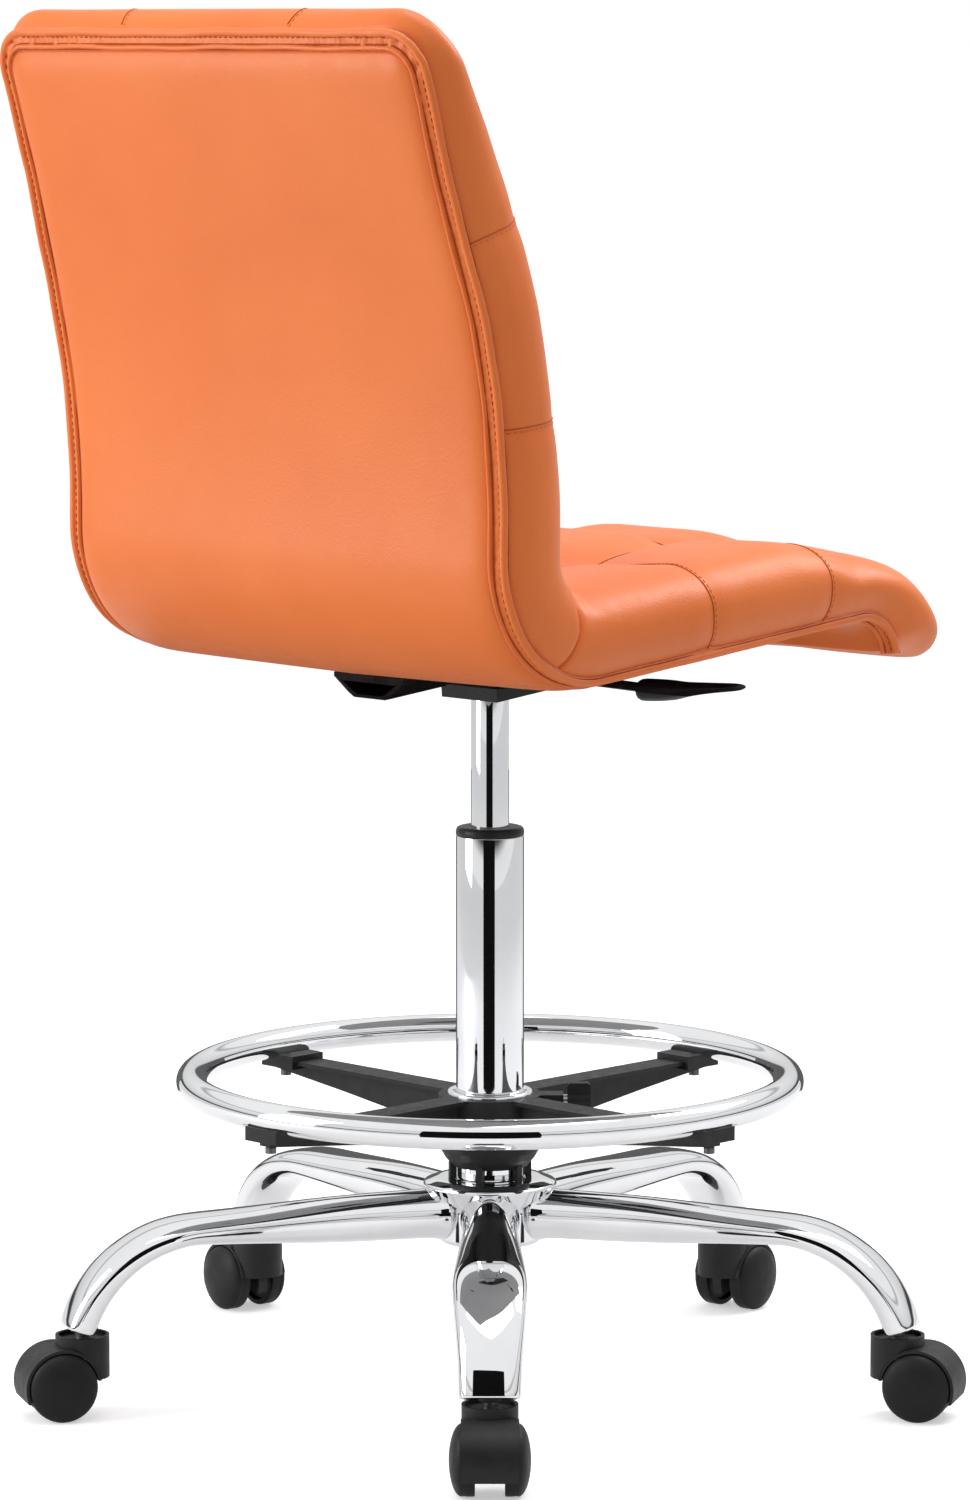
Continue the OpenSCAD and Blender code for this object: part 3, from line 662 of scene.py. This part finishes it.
def ripple_wave(station, wavelength, phase=0.0):
    return np.sin(station * 2 * math.pi / wavelength + phase)


def ring_points(a, t, r, start, end, count):
    """Points on a circle in the band's section, angles in degrees from outward towards the pad."""
    return [(a + r * math.cos(math.radians(k)), t + r * math.sin(math.radians(k)))
            for k in np.linspace(start, end, count)]


def make_welt():
    path = welt_path()
    section = (
        [(0.003, 0.0045), (0.009, 0.0040)]
        + ring_points(0.0116, -0.0032, 0.0030, 78, -130, 10)
        + [(0.0086, -0.0036), (0.0078, -0.0041), (0.0064, -0.0045), (0.0048, -0.0050), (0.0038, -0.0055)]
        + ring_points(0.0020, -0.0070, 0.0015, 20, -190, 7)
        + [(-0.0020, -0.0050), (-0.0035, -0.0005)]
    )
    n = len(path)
    station = np.cumsum(np.concatenate([[0], np.hypot(*np.diff(path[:, :2], axis=0).T)]))
    total = station[-1]
    corner = np.exp(-((station - 0.86) / 0.05) ** 2) + np.exp(-((total - 0.86 - station) / 0.05) ** 2)
    rows = []
    for k, (a, t) in enumerate(section):
        on_band = 1.0 if 0.003 < a < 0.0088 and t < 0 else 0.25
        gather = (ripple_wave(station, 0.0083) + 0.6 * ripple_wave(station, 0.0131, 1.3)
                  + 0.5 * ripple_wave(station, 0.0312, k))
        ripple = on_band * (0.00022 + 0.0007 * corner) * gather
        wander = 0.0004 * ripple_wave(station, 0.19, 0.5) + 0.0003 * ripple_wave(station, 0.071)
        row = beside(path, a + wander, t)
        row[:, 2] -= ripple
        rows.append(row)
    points = np.stack(rows, 1).reshape(-1, 3)
    cols = len(section)
    faces = grid_faces(n, cols, wrap=True)
    faces += [tuple(range(cols)), tuple((n - 1) * cols + j for j in reversed(range(cols)))]
    piece("welt", on_shell(points), faces, MATERIALS["seat_leather"], "seat", "seat_leather",
          ("edge_welt",), levels=1)
    return path, station


welt_stations, welt_length = make_welt()


def make_front_hem():
    """The cover is turned under at the front edge: a flat roll between the panel and the seat pad."""
    half = 0.199
    count = 90
    section = rounded([(-0.012, -0.0040), (-0.0005, -0.0045), (0.0022, 0.0010), (0.0020, 0.020),
                       (-0.012, 0.020)], 0.003, 3)
    rows = []
    for x in np.linspace(-half, half, count):
        shrink = 1 - 0.35 * max(0, (abs(x) - half + 0.004) / 0.004) ** 2
        wave = 0.0005 * math.sin(x * 95) + 0.0003 * math.sin(x * 231 + 1)
        rows += [(PANEL_END + s * shrink + wave, x, t * shrink) for s, t in section]
    cols = len(section)
    faces = grid_faces(count, cols, wrap=True)
    faces += [tuple(range(cols)), tuple((count - 1) * cols + j for j in reversed(range(cols)))]
    piece("front_hem", on_shell(rows), faces, MATERIALS["seat_leather"], "seat", "seat_leather")


make_front_hem()


def capsule_row(points, directions, normals, length, radius):
    """Short thread stitches: six-sided tapered bars laid along directions."""
    verts, faces = [], []
    for centre, along, up in zip(points, directions, normals):
        along = along / np.linalg.norm(along)
        up = up - along * up.dot(along)
        up = up / np.linalg.norm(up)
        across = np.cross(along, up)
        first = len(verts)
        for place, size in ((-0.5, 0.35), (-0.3, 1.0), (0.3, 1.0), (0.5, 0.35)):
            for j in range(6):
                a = math.pi * j / 3
                verts.append(centre + along * place * length
                             + (across * math.cos(a) + up * math.sin(a)) * radius * size)
        faces += grid_faces(4, 6, wrap=True, first=first)
        faces += [tuple(first + j for j in reversed(range(6))), tuple(first + 18 + j for j in range(6))]
    return verts, faces


def welt_stitches():
    """Thread in the valley between the band and the outer piping."""
    spacing = 0.0052
    stations = np.arange(0.004, welt_length[-1] - 0.004, spacing)
    path = np.stack([np.interp(stations, welt_length, welt_stations[:, k]) for k in range(4)], 1)
    layout = beside(path, 0.0084, -0.0043)
    centres = on_shell(layout)
    raised = on_shell(layout + [0, 0, -0.001]) - centres
    verts, faces = capsule_row(centres, np.gradient(centres, axis=0), raised, 0.0030, 0.00042)
    piece("welt_stitches", verts, faces, SEAM_LEATHER, "seat", "seat_leather")


welt_stitches()


def tube(points, radius, sides=8):
    """A closed tube along points."""
    points = np.asarray(points, float)
    along = np.gradient(points, axis=0)
    along /= np.linalg.norm(along, axis=1)[:, None]
    up = np.array([0.31, 0.22, 0.92])
    verts = []
    for centre, direction in zip(points, along):
        across = np.cross(direction, up)
        across /= np.linalg.norm(across)
        up = np.cross(across, direction)
        for j in range(sides):
            a = 2 * math.pi * j / sides
            verts.append(centre + radius * (across * math.cos(a) + up * math.sin(a)))
    n = len(points)
    faces = grid_faces(n, sides, wrap=True)
    faces += [tuple(reversed(range(sides))), tuple((n - 1) * sides + j for j in range(sides))]
    return verts, faces


# distance outwards, depth and radius of each dark crease line; these lines are painted shade in the creases,
# and partly also the seam lines there
WELT_SHADE_LINES = ((0.0040, -0.0056, 0.0006), (0.0004, -0.0064, 0.0005), (0.0128, -0.0006, 0.0005))


def welt_crease_shade():
    """Dark tubes at the foot of each piping, against the band, the panel and the pad: painted shade in these
    creases, and partly also the seam lines sewn there.
    """
    verts, faces = [], []
    for out, depth, radius in WELT_SHADE_LINES:
        line, sides = tube(on_shell(beside(welt_stations, out, depth)), radius, 6)
        faces += [tuple(i + len(verts) for i in face) for face in sides]
        verts += line
    piece("welt_crease_shade", verts, faces, CREASE_SHADE_LEATHER, "seat", "seat_leather")


# dark lines in the welt's creases: painted crease shade, partly also seam lines
welt_crease_shade()

# ---- Seams and stitches on the pads ----


class PadSurface:
    """Finds the finished surface of a pad above a place in its layout."""

    def __init__(self, obj):
        self.layout = read_param(obj)
        self.co = np.array([v.co for v in obj.data.vertices])
        faces = [tuple(f.vertices) for f in obj.data.polygons]
        self.shape = bvhtree.BVHTree.FromPolygons(self.co.tolist(), faces)
        self.tree = kdtree.KDTree(len(self.layout))
        for i, p in enumerate(self.layout):
            self.tree.insert(p, i)
        self.tree.balance()

    def at(self, layout):
        found = self.tree.find_n(layout, 4)
        weight = np.array([1 / (d + 1e-5) for _, _, d in found])
        weight /= weight.sum()
        return (self.co[[i for _, i, _ in found]] * weight[:, None]).sum(axis=0)

    def lift(self, points, height):
        """The points moved onto the surface and raised above it, with the surface's normals."""
        hits = [self.shape.find_nearest(Vector(p)) for p in points]
        normal = smooth_line([tuple(hit[1]) for hit in hits])
        normal /= np.linalg.norm(normal, axis=1)[:, None]
        return np.array([tuple(hit[0]) for hit in hits]) + normal * height, normal


def cross_line(surface, s, step=0.004):
    """Layout points across a pad at one length: up the side, over the face, down the other side."""
    rows = surface.layout
    near = rows[np.abs(rows[:, 0] - s) < 0.0032]
    near = near[near[:, 2] > PAD_FOOT + 0.002]
    angle = np.arctan2(near[:, 1], near[:, 2])
    order = near[np.argsort(angle)]
    line = [order[0]]
    for q in order[1:]:
        if np.linalg.norm(q[1:] - line[-1][1:]) > step:
            line.append(q)
    return [(s, q[1], q[2]) for q in line]


def smooth_line(points, passes=3):
    points = np.array(points)
    for _ in range(passes):
        points[1:-1] = 0.25 * points[:-2] + 0.5 * points[1:-1] + 0.25 * points[2:]
    return points


def resample(points, step):
    points = np.asarray(points)
    length = np.concatenate([[0], np.cumsum(np.linalg.norm(np.diff(points, axis=0), axis=1))])
    stations = np.arange(0, length[-1], step)
    return np.stack([np.interp(stations, length, points[:, k]) for k in range(3)], 1)


def sew(name, surface, lines):
    """A seam line and a row of stitches beside it along each layout line."""
    seam_verts, seam_faces, thread_verts, thread_faces = [], [], [], []
    for line in lines:
        co = resample(smooth_line([surface.at(q) for q in line]), 0.003)
        fine, normal = surface.lift(co, 0.0002)
        verts, faces = tube(fine, 0.00045)
        seam_faces += [tuple(i + len(seam_verts) for i in f) for f in faces]
        seam_verts += verts
        aside = np.cross(np.gradient(fine, axis=0), normal)
        aside /= np.linalg.norm(aside, axis=1)[:, None]
        places, up = surface.lift(resample(fine + aside * 0.0026, 0.0045), 0.0001)
        verts, faces = capsule_row(places, np.gradient(places, axis=0), up, 0.0030, 0.00034)
        thread_faces += [tuple(i + len(thread_verts) for i in f) for f in faces]
        thread_verts += verts
    piece(name + "_seams", seam_verts, seam_faces, SEAM_LEATHER, "seat", "seat_leather")
    piece(name + "_stitches", thread_verts, thread_faces, THREAD, "seat", "seat_leather")


def pad_seams(name, obj, seams, s_from, s_to, top, over=0):
    """Cross seams and two long seams, which roll over the pad's first end within the length over."""
    surface = PadSurface(obj)
    lines = [cross_line(surface, s) for s in seams]
    count = round((s_to - s_from) / 0.005)
    for x in (-SEAM_X, SEAM_X):
        line = []
        if over:
            start = s_from - over
            line = [(start, x, t) for t in np.linspace(0.006, top - CREST_R - 0.004, 6)]
            line += [(start + over * (1 - math.cos(a)), x, top - CREST_R * (1 - math.sin(a)))
                     for a in np.linspace(0, 1.5, 12)]
        line += [(s, x, top) for s in np.linspace(s_from, s_to, count)]
        lines.append(line)
    sew(name, surface, lines)


pad_seams("back", back_pad, BACK_SEAMS, BACK_TOP_S + BACK_TOP_R, S_JOIN - 0.020, BACK_TOP_T, BACK_TOP_R)
pad_seams("seat", seat_pad, SEAT_SEAMS, S_JOIN + 0.016, SHELL_LENGTH - 0.020, SEAT_TOP_T)

# ---- Chrome base, column and ring ----

BASE_YAW = math.radians(134)
LEG_Z = 0.132
LEG_ARC_R = 0.096
LEG_ARC_C = (0.222, 0.036)
LEG_ARC_END = math.radians(17)
LEG_WIDTH = ((0.030, 0.111, 0.180, 0.250, 0.285, 0.320), (0.039, 0.040, 0.048, 0.053, 0.049, 0.041))
LEG_HEIGHT = ((0.030, 0.120, 0.186, 0.232, 0.275, 0.320), (0.037, 0.034, 0.024, 0.020, 0.021, 0.025))


def turn(k):
    """Rotation that brings +X onto leg k."""
    return Matrix.Rotation(BASE_YAW + 2 * math.pi * (k - 1) / 5, 4, "Z")


def leg_stations():
    """Distance out, height and slope along a leg's centreline."""
    straight = (0.034, 0.037, 0.040, 0.044, 0.050, 0.06, 0.08, 0.11, 0.14, 0.17, 0.195)
    stations = [(r, LEG_Z, 0) for r in straight]
    for a in np.linspace(math.pi / 2, LEG_ARC_END, 14):
        r, z = LEG_ARC_C[0] + LEG_ARC_R * math.cos(a), LEG_ARC_C[1] + LEG_ARC_R * math.sin(a)
        stations.append((r, z, a - math.pi / 2))
    return stations


def leg_mesh(k):
    sides = 36
    matrix = turn(k)
    verts = []
    stations = leg_stations()
    rings = [(s, 1.0) for s in stations]
    rings[-1:] = [(stations[-1], 1.0), (stations[-1], 0.97), (stations[-1], 0.86), (stations[-1], 0.4)]
    for (r, z, slope), size in rings:
        flare = 1 + 0.13 * math.exp(-max(0, r - 0.038) / 0.005)
        flat = np.interp(r, (0.04, 0.19, 0.32), (2.0, 2.8, 2.6))
        half_w = np.interp(r, *LEG_WIDTH) / 2 * flare * size
        half_h = np.interp(r, *LEG_HEIGHT) / 2 * flare * size
        for j in range(sides):
            a = 2 * math.pi * j / sides
            across = math.copysign(abs(math.cos(a)) ** (2 / flat), math.cos(a)) * half_w
            up = math.copysign(abs(math.sin(a)) ** (2 / flat), math.sin(a)) * half_h
            verts.append(matrix @ Vector((r - up * math.sin(slope), across, z + up * math.cos(slope))))
    n = len(rings)
    faces = grid_faces(n, sides, wrap=True)
    faces += [tuple(reversed(range(sides))), tuple((n - 1) * sides + j for j in range(sides))]
    return verts, faces


for k in range(1, 6):
    piece(f"leg_{k}", *leg_mesh(k), MATERIALS["chrome"], "base", "chrome", (f"base_leg_{k}",), levels=1)

hub_profile = rounded([
    (0.0252, 0.109), (0.036, 0.109), (0.039, 0.112), (0.039, 0.137), (0.0475, 0.149),
    (0.0495, 0.152), (0.0485, 0.154), (0.0405, 0.157), (0.0252, 0.157)], 0.003, 5)
piece("hub", *lathe(hub_profile, 128), MATERIALS["chrome"], "base", "chrome", ("base_hub",))

tube_profile = rounded([(0.0235, 0.111), (0.025, 0.111), (0.025, 0.411), (0.0235, 0.411)], 0.0006, 3)
piece("column", *lathe(tube_profile, 128), MATERIALS["chrome"], "base", "chrome", ("column_tube",))

collar_profile = rounded([
    (0.01405, 0.380), (0.0235, 0.380), (0.0235, 0.4112), (0.0249, 0.4112), (0.0252, 0.4135),
    (0.0244, 0.4168), (0.0215, 0.4176), (0.01405, 0.4176)], 0.0012, 4)
piece("collar", *lathe(collar_profile, 96), MATERIALS["bush_plastic"], "base", "bush_plastic",
      ("column_bush",))

lift_profile = rounded([(0.0115, 0.232), (0.014, 0.232), (0.014, 0.538), (0.0115, 0.538)], 0.0008, 3)
piece("lift_rod", *lathe(lift_profile, 96), MATERIALS["chrome"], "lift", "chrome", ("lift_cylinder",))

RING_R, RING_TUBE_R, RING_Z = 0.220, 0.01075, 0.230
ring_profile = [(RING_R + RING_TUBE_R * math.cos(a), RING_Z + RING_TUBE_R * math.sin(a))
                for a in np.linspace(0, 2 * math.pi, 33)[:-1]]
piece("ring", *lathe(ring_profile, 192), MATERIALS["chrome"], "footrest", "chrome", ("foot_ring",))

bush_profile = rounded([(0.02505, 0.200), (0.032, 0.200), (0.032, 0.2205), (0.0308, 0.222), (0.0268, 0.222),
                        (0.02505, 0.2204)], 0.0012, 4)
piece("ring_bush", *lathe(bush_profile, 96), MATERIALS["chrome"], "footrest", "chrome", ("foot_hub_bush",))


CASTER_CIRCLE_R, CASTER_TRAIL, WHEEL_R = 0.310, 0.0185, 0.025
WHEEL_INNER, WHEEL_OUTER, WHEEL_DOME = 0.01025, 0.02825, 0.009


def make_wheel(k, side, body):
    """Domed caster wheel; side is 1 on the right of its caster and -1 on the left."""
    rim = WHEEL_OUTER - WHEEL_DOME
    profile = [(0.0031, 0.0046), (0.0070, 0.0046), (0.0070, 0.0140), (0.0208, 0.0140), (0.0210, 0.0106)]
    profile += [(0.0213, WHEEL_INNER), (0.0240, WHEEL_INNER), (0.0247, 0.0106), (WHEEL_R, 0.0114)]
    profile += [(WHEEL_R, 0.0150)]
    profile += [(WHEEL_R - 0.0003, rim - 0.0014), (WHEEL_R - 0.0003, rim - 0.0006), (WHEEL_R, rim + 0.0002)]
    profile += [(WHEEL_R * math.cos(a), rim + WHEEL_DOME * math.sin(a)) for a in np.linspace(0.06, 1.5, 20)]
    profile += [(0, WHEEL_OUTER), (0, WHEEL_OUTER - 0.0028), (0.0031, WHEEL_OUTER - 0.0028)]
    place = turn(k) @ Matrix.Translation((CASTER_CIRCLE_R + CASTER_TRAIL, 0, WHEEL_R))
    place = place @ Matrix.Rotation(-math.pi / 2, 4, "X")
    verts, faces = lathe([(r, side * z) for r, z in profile], 96, place)
    piece(f"{body}_tyre", verts, faces, MATERIALS["wheel_nylon"], body, "wheel_nylon", (body,), sharp=40)


for k in range(1, 6):
    make_wheel(k, -1, f"wheel_left_{k}")
    make_wheel(k, 1, f"wheel_right_{k}")


# Lever grip: distance out, height of its middle, half height and half width
GRIP = ((0.1085, 0.5229, 0.0058, 0.0058), (0.1092, 0.5229, 0.0078, 0.0078), (0.1120, 0.5230, 0.0084, 0.0086),
        (0.1280, 0.5240, 0.0081, 0.0088), (0.1400, 0.5249, 0.0074, 0.0088), (0.1460, 0.5254, 0.0066, 0.0089),
        (0.1520, 0.5263, 0.0055, 0.0094), (0.1650, 0.5280, 0.0045, 0.0101), (0.1800, 0.5297, 0.0036, 0.0104),
        (0.1930, 0.5310, 0.0031, 0.0100), (0.2000, 0.5316, 0.0027, 0.0086), (0.2040, 0.5319, 0.0020, 0.0064),
        (0.2056, 0.5320, 0.0010, 0.0036))
GRIP_Y = -0.045


def make_grip():
    """A round collar that flattens into a paddle with a thin rounded tip."""
    sides = 32
    verts = []
    for out, z, half_h, half_w in GRIP:
        for j in range(sides):
            a = 2 * math.pi * j / sides
            verts.append((-out, GRIP_Y + half_w * math.cos(a), z + half_h * math.sin(a)))
    last = (len(GRIP) - 1) * sides
    faces = grid_faces(len(GRIP), sides, wrap=True)
    faces += [tuple(range(sides)), tuple(last + j for j in reversed(range(sides)))]
    piece("lever_grip", verts, faces, MATERIALS["grip_plastic"], "lever", "grip_plastic",
          ("lever_handle",), levels=1)


make_grip()


def soften(node, width, segments=2):
    """Rounds the hard edges of a CAD node that is kept."""
    bevel = frame["nodes"][node].modifiers.new("edges", "BEVEL")
    bevel.width = width
    bevel.segments = segments
    bevel.limit_method = "ANGLE"
    bevel.angle_limit = math.radians(35)
    bevel.harden_normals = True


for node, width in (("foot_hub", 0.0014), ("mechanism_housing", 0.0025), ("seat_plate", 0.001),
                    ("plate_channel", 0.0012), ("clamp_wing", 0.0012)):
    soften(node, width)
for k in range(1, 6):
    soften(f"caster_housing_{k}", 0.0009)

# ---- Floor, backdrop and light ----


def make_stage():
    """Pale floor, evenly white as far as the horizon; it throws back less light than it shows."""
    mat, nodes, links, shader, coords = new_material("pale_floor")
    pale = colour_ramp(nodes, links, noise(nodes, links, coords, 2), (0.91, 0.91, 0.91), (0.93, 0.93, 0.93))
    tone = nodes.new("ShaderNodeMix")
    tone.data_type = "RGBA"
    rays = nodes.new("ShaderNodeLightPath")
    links.new(rays.outputs["Is Camera Ray"], tone.inputs["Factor"])
    tone.inputs["A"].default_value = (0.60, 0.60, 0.61, 1)
    links.new(pale, tone.inputs["B"])
    links.new(tone.outputs["Result"], shader.inputs["Base Color"])
    seen = ramp(nodes, links, rays.outputs["Is Camera Ray"], 0, FLOOR_GLOW - FLOOR_MIRROR, 0, 1)
    glow = nodes.new("ShaderNodeMath")
    glow.operation = "ADD"
    links.new(seen, glow.inputs[0])
    links.new(ramp(nodes, links, rays.outputs["Is Diffuse Ray"], FLOOR_MIRROR, 0, 0, 1), glow.inputs[1])
    links.new(glow.outputs[0], shader.inputs["Emission Strength"])
    shader.inputs["Emission Color"].default_value = (1, 1, 1, 1)
    shader.inputs["Roughness"].default_value = 0.6
    shader.inputs["Specular IOR Level"].default_value = 0.1
    mesh = bpy.data.meshes.new("floor")
    corners = [(x * FLOOR_HALF, y * FLOOR_HALF, 0) for x, y in ((-1, -1), (1, -1), (1, 1), (-1, 1))]
    mesh.from_pydata(corners, [], [(0, 1, 2, 3)])
    mesh.materials.append(mat)
    floor = bpy.data.objects.new("floor", mesh)
    bpy.context.scene.collection.objects.link(floor)


def make_card(name, corners, level):
    """A flat studio flag that only mirror reflections pick up."""
    mat, nodes, links, shader, coords = new_material(name)
    tone = colour_ramp(nodes, links, noise(nodes, links, coords, 3), (level,) * 3, (level * 1.2,) * 3)
    links.new(tone, shader.inputs["Base Color"])
    shader.inputs["Roughness"].default_value = 0.9
    shader.inputs["Specular IOR Level"].default_value = 0.0
    mesh = bpy.data.meshes.new(name)
    mesh.from_pydata(corners, [], [(0, 1, 2, 3)])
    mesh.materials.append(mat)
    card = bpy.data.objects.new(name, mesh)
    bpy.context.scene.collection.objects.link(card)
    card.visible_camera = card.visible_diffuse = card.visible_shadow = card.visible_transmission = False


def area_light(name, place, target, size, power):
    light = bpy.data.lights.new(name, "AREA")
    light.shape = "RECTANGLE"
    light.size, light.size_y = size
    light.energy = power
    obj = bpy.data.objects.new(name, light)
    bpy.context.scene.collection.objects.link(obj)
    obj.location = place
    direction = Vector(target) - Vector(place)
    obj.rotation_euler = direction.to_track_quat("-Z", "Y").to_euler()


def around(azimuth, distance, height):
    """A place at an azimuth counted from the camera's side, positive towards the camera's left."""
    a = math.pi / 2 + VIEW_YAW - math.radians(azimuth)
    return (distance * math.cos(a), distance * math.sin(a), height)


def make_world():
    """White studio: even soft light for surfaces, a toned surround for mirror reflections, white behind."""
    world = bpy.data.worlds.new("studio")
    bpy.context.scene.world = world
    world.use_nodes = True
    nodes, links = world.node_tree.nodes, world.node_tree.links
    nodes.clear()
    output = nodes.new("ShaderNodeOutputWorld")
    coords = nodes.new("ShaderNodeTexCoord").outputs["Generated"]
    height = nodes.new("ShaderNodeSeparateXYZ")
    links.new(coords, height.inputs[0])
    bands = nodes.new("ShaderNodeValToRGB")
    stops = bands.color_ramp
    stops.elements[0].position, stops.elements[0].color = 0.0, (0.9, 0.9, 0.9, 1)
    stops.elements[1].position, stops.elements[1].color = 1.0, (1.0, 1.0, 1.0, 1)
    for place, level in HORIZON_BANDS:
        stop = stops.elements.new(place)
        stop.color = (level, level, level, 1)
    links.new(height.outputs["Z"], bands.inputs[0])
    rays = nodes.new("ShaderNodeLightPath")
    mirrored = nodes.new("ShaderNodeBackground")
    links.new(bands.outputs[0], mirrored.inputs["Color"])
    soft = nodes.new("ShaderNodeBackground")
    soft.inputs["Color"].default_value = (1, 1, 1, 1)
    soft.inputs["Strength"].default_value = AMBIENT
    white = nodes.new("ShaderNodeBackground")
    white.inputs["Color"].default_value = (1, 1, 1, 1)
    surfaces = nodes.new("ShaderNodeMixShader")
    links.new(rays.outputs["Is Glossy Ray"], surfaces.inputs[0])
    links.new(soft.outputs[0], surfaces.inputs[1])
    links.new(mirrored.outputs[0], surfaces.inputs[2])
    seen = nodes.new("ShaderNodeMixShader")
    links.new(rays.outputs["Is Camera Ray"], seen.inputs[0])
    links.new(surfaces.outputs[0], seen.inputs[1])
    links.new(white.outputs[0], seen.inputs[2])
    links.new(seen.outputs[0], output.inputs[0])


AMBIENT = 0.60
FLOOR_HALF = 200
FLOOR_GLOW = 0.44               # light that the floor adds where the camera sees it
FLOOR_MIRROR = 0.30             # and where a reflection sees it
# sine of the elevation, and how bright mirrors see the studio there
HORIZON_BANDS = (
    (0.03, 0.85), (0.05, 0.06), (0.10, 0.06), (0.14, 0.70), (0.36, 0.90), (0.40, 0.45), (0.45, 0.95))

make_stage()
make_world()
area_light("key", around(76, 2.5, 1.25), (0, 0.1, 0.72), (1.2, 1.9), 36)
area_light("top", (0, 0, 3.3), (0, 0, 0.5), (2.2, 2.2), 38)
area_light("rim", around(-122, 2.0, 2.4), (0, -0.05, 0.6), (1.2, 1.2), 30)


def upright_card(name, left, right, distance, low, high, level):
    """A card that stands between two azimuths."""
    make_card(name, [around(left, distance, low), around(right, distance, low),
                     around(right, distance, high), around(left, distance, high)], level)


# a black flag towards the camera, a dim one behind, and a grey one under the seat
upright_card("front_flag", 22, -16, 0.92, 0.02, 0.6, 0.006)
upright_card("rear_flag", 147, -147, 1.2, 0, 0.34, 0.12)
(_, rear_y, _), (_, front_y, _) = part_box("rear_cover")
make_card("seat_flag", [(x, y, 0.522) for x, y in ((-0.22, rear_y), (0.22, rear_y), (0.22, front_y),
                                                   (-0.22, front_y))], 0.40)
# chrome and black parts don't mirror these
for name in ("ring", "rear_panel", "welt", "seat_cushion", "back_cushion", "front_hem"):
    bpy.data.objects[name].visible_glossy = False
bpy.context.scene.view_settings.view_transform = "Standard"
